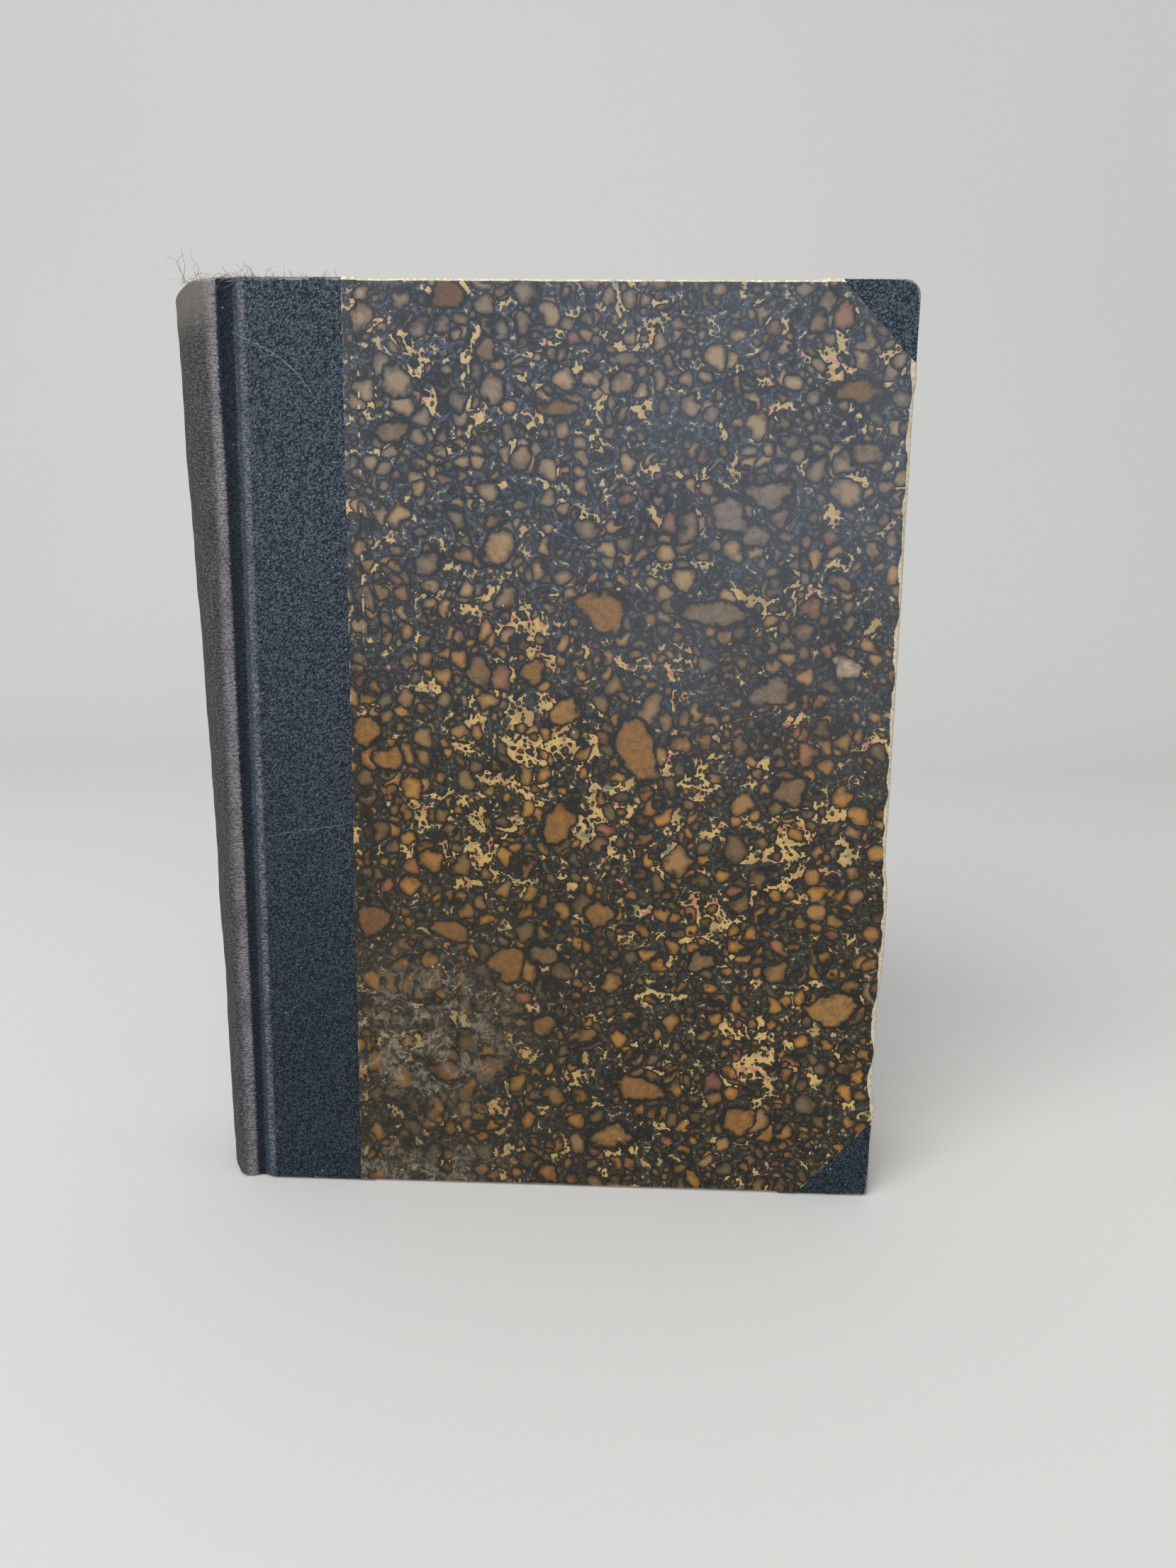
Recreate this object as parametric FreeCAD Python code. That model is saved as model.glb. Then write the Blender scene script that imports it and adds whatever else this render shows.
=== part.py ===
import FreeCAD, Part
import math
import os

# A half-cloth hardback book that stands on its tail: a sewn and rounded page block in a hollow-back case
# of two boards, with a cloth spine, four cloth corners and marbled paper sides.
# The spine is at -X, the front cover faces -Y and the head is up. Lengths are in millimetres.

# Case
cover_height = 190.0
cover_width = 132.0  # from the spine edge of a board to its fore-edge
book_thickness = 36.0  # over both covers
board_t = 2.3
arris_r = 0.5  # the boards' arrises are rubbed round
cloth_t = 0.35
paper_t = 0.15
head_corner_r = 3.0  # the bumped upper corners
tail_corner_r = 1.0
turn_in = 14.0  # depth of the covering that is folded over onto the inside
cloth_side = 20.0  # bare cloth beside the joint
lap = 2.6  # how far the paper side laps over the cloth
head_corner_legs = (15.3, 16.0)  # bare cloth corner, along the head and along the fore-edge
tail_corner_legs = (16.4, 17.6)

# Joint and spine. Distances are from the spine edge of the boards.
joint_centre = 2.9
joint_gap = 0.3  # between the spine's cloth and the board's cloth, which bend apart here
joint_depth = 1.5
joint_foot = 1.75  # where the board's cloth reaches the bottom of the joint
joint_brow = 0.45  # how far the cloth stands off the spine edge of the board
ridge_centre = 5.8
ridge_r = 2.2
ridge_drop = 0.3  # of the ridge below the outermost paper
spine_reach_head = 17.3  # the spine leans out further at the head than at the tail
spine_reach_tail = 12.7
inlay_t = 0.7
inlay_edge = 2.6  # from the outermost paper to the edge of the spine card
glue_t = 0.1  # between the curved layers of the spine
hollow = 0.5  # between the spine's turn-in and the lining on the pages
lining_t = 0.2
lining_margin = 2.0  # at the head and tail of the pages
mull_t = 0.25
mull_margin = 17.0
mull_flange = 25.0

# Pages
head_square = 3.0  # how far the covers stand past the pages at the head and the tail
fore_square = 3.5
leaf_t = 0.15
cover_clearance = 0.3  # between a pastedown and the flyleaf that faces it
shoulder_drop = 2.2  # of the pages' shoulder below the outermost paper
shoulder_start = 0.6  # where the pages narrow to the shoulder, from the spine edge of the boards
shoulder_reach = 3.6  # of the pages' back at its shoulders

# Depths below the outermost paper of the front cover
cloth_top = paper_t
board_top = cloth_top + cloth_t
board_under = board_top + board_t
pastedown_under = board_under + cloth_t + leaf_t
flyleaf_top = pastedown_under + cover_clearance
block_top = flyleaf_top + leaf_t

half = book_thickness / 2
page_z0 = head_square
page_z1 = cover_height - head_square
page_x1 = cover_width - fore_square
card_room_t = glue_t + inlay_t + glue_t
mull_out = glue_t  # how far a layer lies out from the back of the pages
lining_out = mull_out + mull_t + glue_t
back_inset = cloth_t + card_room_t + cloth_t + hollow + lining_t + lining_out
past = 5.0  # how far a cutting shape runs past what it cuts


def vec(x, y, z=0.0):
    return FreeCAD.Vector(x, y, z)


def deep(depth):
    """The Y of a plane that lies this deep below the outermost paper of the front cover."""
    return depth - half


def box(x0, x1, depth0, depth1, z0, z1):
    return Part.makeBox(x1 - x0, depth1 - depth0, z1 - z0, vec(x0, deep(depth0), z0))


def prism(outline, depth0, depth1):
    """A flat outline of (x, z) points, made solid between two depths."""
    points = [vec(x, deep(depth0), z) for x, z in outline]
    face = Part.Face(Part.makePolygon(points + points[:1]))
    return face.extrude(vec(0, depth1 - depth0))


def plate(grow, depth0, depth1):
    """A board's outline, grown outward at head, tail and fore-edge, made solid between two depths."""
    inset = cloth_t - grow
    x1 = cover_width - inset
    z0, z1 = inset, cover_height - inset
    tail_r, head_r = tail_corner_r - inset, head_corner_r - inset
    diagonal = math.sqrt(0.5)
    y = deep(depth0)
    tail_arc = [
        vec(x1 - tail_r, y, z0),
        vec(x1 - tail_r + tail_r * diagonal, y, z0 + tail_r - tail_r * diagonal),
        vec(x1, y, z0 + tail_r),
    ]
    head_arc = [
        vec(x1, y, z1 - head_r),
        vec(x1 - head_r + head_r * diagonal, y, z1 - head_r + head_r * diagonal),
        vec(x1 - head_r, y, z1),
    ]
    start, end = vec(0, y, z0), vec(0, y, z1)
    edges = [
        Part.LineSegment(start, tail_arc[0]).toShape(),
        Part.Arc(*tail_arc).toShape(),
        Part.LineSegment(tail_arc[2], head_arc[0]).toShape(),
        Part.Arc(*head_arc).toShape(),
        Part.LineSegment(head_arc[2], end).toShape(),
        Part.LineSegment(end, start).toShape(),
    ]
    return Part.Face(Part.Wire(edges)).extrude(vec(0, depth1 - depth0))


def board():
    blank = plate(0, board_top, board_under)
    rims = [edge for face in blank.Faces if abs(face.normalAt(0, 0).y) > 0.5 for edge in face.Edges]
    return blank.makeFillet(arris_r, rims)


def skin(thickness):
    """A covering of even thickness folded round a board, with an open window inside the turn-ins."""
    shell = plate(thickness, board_top - thickness, board_under + thickness)
    shell = shell.cut(plate(0, board_top, board_under))
    window = box(
        -past, cover_width - turn_in, board_under, board_under + past, turn_in, cover_height - turn_in
    )
    return shell.cut(window)


def corner_prism(at_head, legs, extra):
    """Cuts off a corner of the cover along its diagonal. extra moves the cut square to itself, inward."""
    along_edge, along_fore = legs
    share = extra * math.hypot(along_edge, along_fore) / (along_edge * along_fore)
    along_edge, along_fore = along_edge * (1 + share), along_fore * (1 + share)
    run = 0.5
    near_x = cover_width - along_edge * (1 + run)
    far_x = cover_width + along_edge * run
    near_z = -along_fore * run
    far_z = along_fore * (1 + run)
    outline = [(near_x, near_z), (far_x, near_z), (far_x, far_z)]
    if at_head:
        outline = [(x, cover_height - z) for x, z in outline]
    return prism(outline, -past, board_under + past)


def spine_side_cloth():
    """The cloth on the board beside the joint: over the face, the head and the tail, and into the joint."""
    on_board = skin(cloth_t).common(
        box(0, cloth_side + lap, -past, board_under + past, -past, cover_height + past)
    )
    top = [
        (cloth_side, cloth_top),
        (-joint_brow, cloth_top),
        (-joint_foot, joint_depth),
        (-joint_centre + joint_gap / 2, joint_depth),
    ]
    dx, dy = top[2][0] - top[1][0], top[2][1] - top[1][1]
    lean = (math.hypot(dx, dy) + dx) / dy  # tangent of half the turn at each bend
    under = [
        (x + cloth_t * (0 if i in (0, 3) else lean), depth + cloth_t) for i, (x, depth) in enumerate(top)
    ]
    points = [vec(x, deep(depth)) for x, depth in top + under[::-1]]
    face = Part.Face(Part.makePolygon(points + points[:1]))
    return on_board.fuse(face.extrude(vec(0, 0, cover_height))).removeSplitter()


def corner_cloth(at_head, legs):
    return skin(cloth_t).common(corner_prism(at_head, legs, lap))


def marbled_paper(cloths):
    """The paper side: laps over the edges of the cloths on the face, and turns in round the board."""
    whole = box(cloth_side, cover_width + past, -past, board_under + past, -past, cover_height + past)
    for at_head, legs in ((True, head_corner_legs), (False, tail_corner_legs)):
        whole = whole.cut(corner_prism(at_head, legs, 0))
    lapped = box(cloth_side, cloth_side + lap + paper_t, 0, board_top, 0, cover_height)
    for at_head, legs in ((True, head_corner_legs), (False, tail_corner_legs)):
        lapped = lapped.fuse(corner_prism(at_head, legs, lap + paper_t))
    lapped = lapped.common(plate(0, 0, board_top))
    paper = skin(paper_t).fuse(lapped).common(whole)
    for cloth in cloths:
        paper = paper.cut(cloth)
    return paper.removeSplitter()


def mull_on_board():
    z0, z1 = page_z0 + mull_margin, page_z1 - mull_margin
    return box(0, mull_flange, board_under, board_under + mull_t, z0, z1)


def pastedown(covered):
    """The endpaper glued inside the board, over the turn-ins and the gauze."""
    leaf = box(0, page_x1, board_under, pastedown_under, page_z0, page_z1)
    for piece in covered:
        leaf = leaf.cut(piece)
    return leaf.removeSplitter()


def flyleaf():
    return box(-shoulder_start, page_x1, flyleaf_top, block_top, page_z0, page_z1)


def spine_circle(reach):
    """Centre X and radius of the spine's outer arc, which runs smoothly into the ridges at the joints."""
    out = ridge_centre - reach
    ridge_y = half - ridge_drop - ridge_r
    radius = (ridge_r**2 - out**2 - ridge_y**2) / (2 * (out + ridge_r))
    return radius - reach, radius


def spine_wire(reach, inset, z):
    """The outline inside the spine's outer surface, moved in by inset: joint, ridge, spine, ridge, joint."""
    centre_x, radius = spine_circle(reach)
    ridge = vec(-ridge_centre, deep(ridge_drop + ridge_r), z)
    start = vec(-joint_centre - joint_gap / 2, deep(joint_depth), z)
    to_ridge = ridge - start
    turn = math.asin(ridge_r / to_ridge.Length)
    angle = math.atan2(to_ridge.y, to_ridge.x) + turn
    along = vec(math.cos(angle), math.sin(angle))
    inward = vec(along.y, -along.x)
    start = start + inward * inset - along * (inward.x * inset / along.x)
    off_joint = ridge - inward * (ridge_r - inset)
    outward = (ridge - vec(centre_x, 0, z)).normalize()
    off_ridge = ridge + outward * (ridge_r - inset)
    crest = ridge + (outward - inward).normalize() * (ridge_r - inset)
    front = [start, off_joint, crest, off_ridge]
    rear = [vec(p.x, -p.y, z) for p in front]
    edges = [
        Part.LineSegment(front[0], front[1]).toShape(),
        Part.Arc(front[1], front[2], front[3]).toShape(),
        Part.Arc(front[3], vec(centre_x - radius + inset, 0, z), rear[3]).toShape(),
        Part.Arc(rear[3], rear[2], rear[1]).toShape(),
        Part.LineSegment(rear[1], rear[0]).toShape(),
        Part.LineSegment(rear[0], front[0]).toShape(),
    ]
    return Part.Wire(edges)


def between_ends(wire_at):
    """A solid from the tail to the head, where wire_at gives the section for a spine reach at a height."""
    tail, head = wire_at(spine_reach_tail, 0.0), wire_at(spine_reach_head, cover_height)
    return Part.makeLoft([tail, head], True, True)


def spine_solid(inset):
    return between_ends(lambda reach, z: spine_wire(reach, inset, z))


def spine_layer(inset, thickness, z0, z1):
    """A layer inside the spine's cloth, which reaches from one ridge to the other."""
    layer = spine_solid(inset).cut(spine_solid(inset + thickness))
    between_ridges = box(-cover_width, -ridge_centre, inlay_edge, book_thickness - inlay_edge, z0, z1)
    return layer.common(between_ridges)


def spine_card():
    """The card that stiffens the spine, inside the cloth."""
    return spine_layer(cloth_t + glue_t, inlay_t, cloth_t, cover_height - cloth_t)


def spine_cloth():
    """The cloth over the spine, from joint to joint, turned in over the card at the head and tail."""
    cloth = spine_solid(0).cut(spine_solid(cloth_t))
    card_room = spine_layer(cloth_t, card_room_t, cloth_t, cover_height - cloth_t)
    for z0, z1 in ((0, turn_in), (cover_height - turn_in, cover_height)):
        folded = spine_layer(cloth_t, card_room_t + cloth_t, z0, z1)
        cloth = cloth.fuse(folded.cut(card_room))
    return cloth.removeSplitter()


def back_points(reach, out, z):
    """Three points of an arc that lies out from the rounded back of the pages, from shoulder to shoulder."""
    furthest = reach - back_inset
    rise = furthest - shoulder_reach
    shoulder_y = half - shoulder_drop
    radius = (rise**2 + shoulder_y**2) / (2 * rise)
    shoulder_x = radius - furthest - math.sqrt((radius + out) ** 2 - shoulder_y**2)
    return [vec(shoulder_x, -shoulder_y, z), vec(-furthest - out, 0, z), vec(shoulder_x, shoulder_y, z)]


def back_layer_wire(reach, z, out, thickness):
    outer = back_points(reach, out + thickness, z)
    inner = back_points(reach, out, z)
    edges = [
        Part.Arc(*outer).toShape(),
        Part.LineSegment(outer[2], inner[2]).toShape(),
        Part.Arc(*inner[::-1]).toShape(),
        Part.LineSegment(inner[0], outer[0]).toShape(),
    ]
    return Part.Wire(edges)


def back_layer(out, thickness, margin):
    """A layer glued to the rounded back of the pages."""
    layer = between_ends(lambda reach, z: back_layer_wire(reach, z, out, thickness))
    z0, z1 = page_z0 + margin, page_z1 - margin
    return layer.common(box(-cover_width, past, 0, book_thickness, z0, z1))


def block_wire(reach, z):
    """A section of the pages: the hollow of the fore-edge is as deep as the round of the back."""
    back = back_points(reach, 0, z)
    hollow_depth = back[0].x - back[1].x
    side = half - block_top
    front_start, front_end = vec(-shoulder_start, -side, z), vec(page_x1, -side, z)
    rear_start, rear_end = vec(-shoulder_start, side, z), vec(page_x1, side, z)
    edges = [
        Part.Arc(*back).toShape(),
        Part.LineSegment(back[2], rear_start).toShape(),
        Part.LineSegment(rear_start, rear_end).toShape(),
        Part.Arc(rear_end, vec(page_x1 - hollow_depth, 0, z), front_end).toShape(),
        Part.LineSegment(front_end, front_start).toShape(),
        Part.LineSegment(front_start, back[0]).toShape(),
    ]
    return Part.Wire(edges)


def text_block():
    whole = between_ends(block_wire)
    return whole.common(box(-cover_width, 2 * cover_width, 0, book_thickness, page_z0, page_z1))


def cover_nodes():
    """The pieces of the front cover, by name."""
    spine_side = spine_side_cloth()
    head_corner = corner_cloth(True, head_corner_legs)
    tail_corner = corner_cloth(False, tail_corner_legs)
    cloths = [spine_side, head_corner, tail_corner]
    paper = marbled_paper(cloths)
    flange = mull_on_board()
    return {
        "board": board(),
        "joint_cloth": spine_side,
        "head_corner_cloth": head_corner,
        "tail_corner_cloth": tail_corner,
        "marbled_paper": paper,
        "mull_flange": flange,
        "pastedown": pastedown([*cloths, paper, flange]),
        "flyleaf": flyleaf(),
    }


def book_nodes():
    nodes = {}
    for name, shape in cover_nodes().items():
        nodes["front_" + name] = shape
        nodes["back_" + name] = shape.mirror(vec(0, 0), vec(0, 1))
    nodes["spine_card"] = spine_card()
    nodes["spine_cloth"] = spine_cloth()
    nodes["spine_mull"] = back_layer(mull_out, mull_t, mull_margin)
    nodes["spine_lining"] = back_layer(lining_out, lining_t, lining_margin)
    nodes["text_block"] = text_block()
    return nodes


def main():
    """Writes each piece with the origin under the middle of the book."""
    os.makedirs("parts", exist_ok=True)
    middle_x = (cover_width - spine_reach_head) / 2
    for name, shape in book_nodes().items():
        shape.translate(vec(-middle_x, 0))
        shape.exportStep("parts/" + name + ".step")
        solids = shape.Solids
        print(name, len(solids), "solid", shape.isValid(), round(sum(s.Volume for s in solids), 1))


main()
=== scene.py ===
import math
import random

import bmesh
import bpy
import numpy as np
from mathutils import Matrix, Vector


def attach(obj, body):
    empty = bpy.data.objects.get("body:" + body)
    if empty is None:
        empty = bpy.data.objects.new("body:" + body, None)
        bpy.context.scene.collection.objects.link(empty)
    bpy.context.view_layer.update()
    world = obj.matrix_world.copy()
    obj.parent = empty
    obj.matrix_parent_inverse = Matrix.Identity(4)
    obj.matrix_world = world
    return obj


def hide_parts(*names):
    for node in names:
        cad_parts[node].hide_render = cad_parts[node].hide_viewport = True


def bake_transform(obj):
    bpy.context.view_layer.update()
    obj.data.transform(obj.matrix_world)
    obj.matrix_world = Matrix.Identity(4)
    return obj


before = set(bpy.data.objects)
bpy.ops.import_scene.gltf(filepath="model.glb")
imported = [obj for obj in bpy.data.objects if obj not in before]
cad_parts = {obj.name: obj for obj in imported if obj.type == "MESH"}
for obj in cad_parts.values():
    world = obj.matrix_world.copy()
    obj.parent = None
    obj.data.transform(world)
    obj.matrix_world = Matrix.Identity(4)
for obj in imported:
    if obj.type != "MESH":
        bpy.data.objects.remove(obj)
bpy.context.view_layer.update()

# A half-cloth hardback book around its fixed frame: cloth case, marbled paper sides, endpapers and pages.
# Lengths are in millimetres in a cover's own terms until place() puts them in the frame: across from the
# spine edge of the boards, depth below the outermost paper, and up from the tail. A sheet also has flat
# coordinates, u and v, which are its across and up before it is folded round its board.

MM = 0.001
MIDDLE = 57.35  # from the spine edge of the boards to the frame's origin
HALF = 18.0  # of the book's thickness
HEIGHT = 190.0
BOARD_ACROSS = 131.65
BOARD_LOW = 0.35
BOARD_HIGH = 189.65
BOARD_TOP = 0.5  # depth of a board's outer face
BOARD_T = 2.3
HEAD_CORNER_R = 2.65
TAIL_CORNER_R = 0.65
ARRIS = 0.6
CLOTH_T = 0.35
PAPER_T = 0.15
CLOTH_SIDE = 20.0  # bare cloth beside the joint
LAP = 2.6  # of the paper over the cloth
COVER_WIDTH = 132.0
HEAD_LEGS = (15.3, 16.0)  # bare cloth corner, along the head and along the fore-edge
TAIL_LEGS = (16.4, 17.6)
TURN_IN = 12.8
ARC = ARRIS * math.pi / 2
FLAT_EDGE = BOARD_T - 2 * ARRIS
ROUND = 2 * ARC + FLAT_EDGE  # along a covering, from the face to the inside of the board
CREASE_X = -2.4  # in the joint, where the cloth bends as a cover opens
SIDES = {"front": 1, "back": -1}
SHARP = math.radians(55)  # an edge that turns by more than this stays sharp


def ramp(start, end, value):
    """A smooth step from 0 at start to 1 at end."""
    t = np.clip((value - start) / (end - start), 0, 1)
    return t * t * (3 - 2 * t)


def between(value, start, full, fading, end):
    """0 up to start and from end on, and 1 from full to fading."""
    return ramp(start, full, value) * ramp(end, fading, value)


def ripple(seed, size, *where):
    """Soft waves of about this size over one or two coordinates, between -1 and 1."""
    source = random.Random(seed)
    total = 0
    for _ in range(7):
        turn = source.uniform(0, math.tau)
        pace = math.tau / size * source.uniform(0.6, 1.6)
        phase = source.uniform(0, math.tau)
        way = where[0]
        if len(where) == 2:
            way = where[0] * math.cos(turn) + where[1] * math.sin(turn)
        total = total + np.sin(way * pace + phase)
    return total / 4


def place(side, across, depth, up):
    """Points of a cover, put in the frame in metres."""
    across, depth, up = np.broadcast_arrays(across, depth, up)
    y = (depth - HALF) * SIDES[side]
    return np.stack([(across - MIDDLE) * MM, y * MM, up * MM], axis=-1)


def tint(red, green, blue):
    """An sRGB colour of 0 to 255 in linear light."""
    shares = (red / 255, green / 255, blue / 255)
    return (*[v / 12.92 if v <= 0.04045 else ((v + 0.055) / 1.055) ** 2.4 for v in shares], 1.0)


# Camera

def make_camera():
    """The camera of the photograph, from its perspective of the front cover."""
    pitch, roll, yaw = math.radians(-9.7), math.radians(-0.755), math.radians(2.1)
    picture_height = 2212  # in the photograph's own steps, like the focal length
    focal_length = 1560
    turn = Matrix.Rotation(yaw, 3, "Z") @ Matrix.Rotation(roll, 3, "Y") @ Matrix.Rotation(pitch, 3, "X")
    right, forward, upward = turn.col[0], turn.col[1], turn.col[2]
    pose = Matrix((right, upward, -forward)).transposed().to_4x4()
    pose.translation = (0.0198, -0.2443, 0.1295)
    data = bpy.data.cameras.new("photo_camera")
    data.sensor_width = 36.0
    data.lens = data.sensor_width * focal_length / picture_height
    data.clip_start = 0.01
    camera = bpy.data.objects.new("photo_camera", data)
    camera.matrix_world = pose
    bpy.context.scene.collection.objects.link(camera)
    bpy.context.scene.camera = camera


# Shader building

class Value:
    """What comes out of a shader node, and the sums that can be made with it."""

    def __init__(self, shader, socket):
        self.shader = shader
        self.socket = socket

    def __add__(self, other):
        return self.shader.math("ADD", self, other)

    def __sub__(self, other):
        return self.shader.math("SUBTRACT", self, other)

    def __mul__(self, other):
        return self.shader.math("MULTIPLY", self, other)


class Shader:
    """One material, the nodes that lead to its surface, and the colour painted so far."""

    def __init__(self, name, specular):
        self.material = bpy.data.materials.new(name)
        self.material.use_nodes = True
        self.tree = self.material.node_tree
        self.surface = self.tree.nodes["Principled BSDF"]
        self.surface.inputs["Specular IOR Level"].default_value = specular
        self.colour = None

    def node(self, kind, inputs, output=0, **settings):
        made = self.tree.nodes.new("ShaderNode" + kind)
        for key, value in settings.items():
            setattr(made, key, value)
        for key, value in inputs.items():
            if isinstance(value, Value):
                self.tree.links.new(value.socket, made.inputs[key])
            else:
                made.inputs[key].default_value = value
        return Value(self, made.outputs[output])

    def all_outputs(self, value):
        """Everything that comes out of the node of this value."""
        return [Value(self, socket) for socket in value.socket.node.outputs]

    def math(self, operation, a, b=0.0, c=0.0):
        return self.node("Math", {0: a, 1: b, 2: c}, operation=operation)

    def most(self, a, b):
        return self.math("MAXIMUM", a, b)

    def step(self, start, end, value, low=0.0, high=1.0, smooth=True):
        """Low before start and high after end."""
        kind = "SMOOTHSTEP" if smooth else "LINEAR"
        inputs = {0: value, 1: start, 2: end, 3: low, 4: high}
        return self.node("MapRange", inputs, interpolation_type=kind)

    def between(self, value, start, full, fading, end):
        """0 up to start and from end on, and 1 from full to fading."""
        return self.step(start, full, value) * self.step(end, fading, value)

    def mix(self, share, a, b, how="MIX"):
        return self.node("Mix", {0: share, 6: a, 7: b}, output=2, data_type="RGBA", blend_type=how)

    def coats(self, colour, *coats):
        """A colour with others over it, each a pair of its share and itself."""
        for share, over in coats:
            colour = self.mix(share, colour, over)
        return colour

    def paint(self, share, over):
        """Lays a colour over the colour so far."""
        self.colour = self.mix(share, self.colour, over)

    def attribute(self, name, output=1):
        """Output 0 is a colour, 1 a vector and 2 a number."""
        return self.node("Attribute", {}, output=output, attribute_name=name)

    def parts(self, vector):
        return self.all_outputs(self.node("SeparateXYZ", {0: vector}))

    def scaled(self, vector, x, y, z):
        return self.node("VectorMath", {0: vector, 1: (x, y, z)}, operation="MULTIPLY")

    def moved(self, vector, by, amount):
        """A vector moved by a noise colour, by up to this amount each way."""
        centred = self.node("VectorMath", {0: by, 1: (0.5, 0.5, 0.5)}, operation="SUBTRACT")
        far = self.node("VectorMath", {0: centred, 3: amount * 2}, operation="SCALE")
        return self.node("VectorMath", {0: vector, 1: far}, operation="ADD")

    def place_in_mm(self):
        """Where a point lies in its object, in millimetres."""
        return self.scaled(self.node("TexCoord", {}, output=3), 1000, 1000, 1000)

    def noise(self, vector, size, detail=2.0, rough=0.5, output=0):
        """Output 0 is a number around 0.5, and 1 a colour of three such numbers."""
        inputs = {"Vector": vector, "Scale": 1 / size, "Detail": detail, "Roughness": rough}
        return self.node("TexNoise", inputs, output=output)

    def cells(self, vector, size, feature="F1"):
        """Voronoi cells: their distance, in cells, and a random colour for each."""
        inputs = {"Vector": vector, "Scale": 1 / size, "Randomness": 0.86}
        return self.all_outputs(self.node("TexVoronoi", inputs, feature=feature))[:2]

    def bump(self, height, strength, distance, under=None):
        inputs = {"Height": height, "Strength": strength, "Distance": distance}
        if under is not None:
            inputs["Normal"] = under
        return self.node("Bump", inputs)

    def finish(self, roughness, normal=None):
        """The material, once the painted colour and these are joined to its surface."""
        for name, value in (("Base Color", self.colour), ("Roughness", roughness), ("Normal", normal)):
            if value is not None:
                self.tree.links.new(value.socket, self.surface.inputs[name])
        return self.material


# Marbled paper

def marble_layers(s, flat, warped, cluster):
    """Layers of spots, from the smallest to the largest.

    Each has its body, which is how deep a point lies in its spot in mm, three random numbers for each spot,
    the width of its dark ring, its softness and its strength.
    """
    closer = s.step(0.0, 1.0, cluster, 1.0, 0.72, smooth=False)
    dots = s.step(0.0, 1.0, cluster, 1.0, 0.62, smooth=False)
    uneven = s.noise(flat, 2.0, detail=1.5) - 0.5
    shifted = s.node("VectorMath", {0: warped, 1: (310.0, 170.0, 0.0)}, operation="ADD")
    layers = []

    def layer(where, size, smallest, largest, margin, shrink, ragged, halo, soft, strength):
        distance, chance = s.cells(where, size)
        edge, _ = s.cells(where, size, feature="DISTANCE_TO_EDGE")
        chance = s.parts(chance)
        radius = s.step(0.0, 1.0, chance[0], smallest, largest, smooth=False) * shrink
        by_centre = radius - distance * size
        by_edge = edge * (size * 1.25) - margin
        body = s.math("SMOOTH_MIN", by_centre, by_edge, size * 0.42) + uneven * ragged
        layers.append((body, chance, halo, soft, strength))

    layer(warped, size=0.95, smallest=-0.2, largest=0.5, margin=0.05, shrink=1.0, ragged=0.0,
          halo=0.12, soft=0.35, strength=0.45)
    layer(warped, size=1.8, smallest=0.0, largest=1.05, margin=0.08, shrink=dots, ragged=0.4,
          halo=0.22, soft=0.7, strength=0.8)
    layer(shifted, size=3.0, smallest=0.1, largest=2.3, margin=0.08, shrink=closer, ragged=1.2,
          halo=0.3, soft=0.95, strength=0.95)
    layer(warped, size=4.1, smallest=0.5, largest=3.2, margin=0.12, shrink=closer, ragged=1.5,
          halo=0.36, soft=1.2, strength=1.0)
    layer(warped, size=6.4, smallest=-3.2, largest=4.4, margin=0.3, shrink=closer, ragged=2.2,
          halo=0.55, soft=1.7, strength=1.0)
    return layers


def spot_colours(s, chance, low):
    """A spot's colour, at random for each spot: grey-brown near the head, greyed by a painted reflection of
    the sheen, and amber near the tail.
    """
    head = s.mix(s.step(0.1, 0.9, chance[1]), tint(130, 116, 101), tint(162, 138, 108))
    tail = s.mix(s.step(0.1, 0.8, chance[1]), tint(104, 85, 54), tint(166, 118, 52))
    return s.coats(
        s.mix(low, head, tail),
        (s.step(0.965, 0.97, chance[2]) * 0.5, tint(126, 66, 70)),
        (s.step(0.05, 0.02, chance[2]) * 0.35, tint(92, 98, 88)),
    )


def paint_layers(s, flat, low, ring, layers):
    """The ground, and on it the rings and spots of every layer."""
    smudge = s.noise(flat, 1.3, detail=3.0, rough=0.6)
    # the ground is bluer and paler towards the head with the painted reflection, and darker towards the tail
    # with painted shade
    s.colour = s.coats(
        ring,
        (s.step(0.34, 0.52, smudge), s.mix(low, tint(68, 77, 89), tint(52, 52, 44))),
        (s.step(0.52, 0.7, smudge), s.mix(low, tint(98, 105, 114), tint(78, 74, 62))),
    )
    for body, chance, halo, soft, strength in layers:
        s.paint(s.step(-halo, 0.0, body), ring)
        depth = body + (smudge - 0.5) * (soft * 0.7)
        rim = s.step(-0.08, 0.3 * soft + 0.15, body, 0.0, strength)
        s.paint(s.step(-0.1, soft, depth, smooth=False) * rim, spot_colours(s, chance, low))


def paint_veins(s, flat, v, covered, cluster):
    """Ochre veins with sharp edges, in the gaps that the rings leave open."""
    hue = s.noise(flat, 4.5, detail=1.0)
    odd = s.noise(flat, 3.4, detail=0.0)
    colour = s.coats(
        tint(164, 136, 86),
        (s.step(0.35, 0.55, hue), tint(196, 163, 98)),
        (s.step(0.6, 0.66, hue), tint(176, 126, 78)),
        (s.step(0.71, 0.75, odd), tint(184, 112, 100)),
        (s.step(0.28, 0.24, odd), tint(108, 120, 88)),
        (s.step(110.0, 160.0, v, 0.0, 0.3), tint(206, 190, 150)),
    )
    reach = s.step(0.0, 1.0, cluster, 0.5, 0.1)
    s.paint(s.step(0.0, 0.09, covered * -1.0 - reach), colour)


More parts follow.
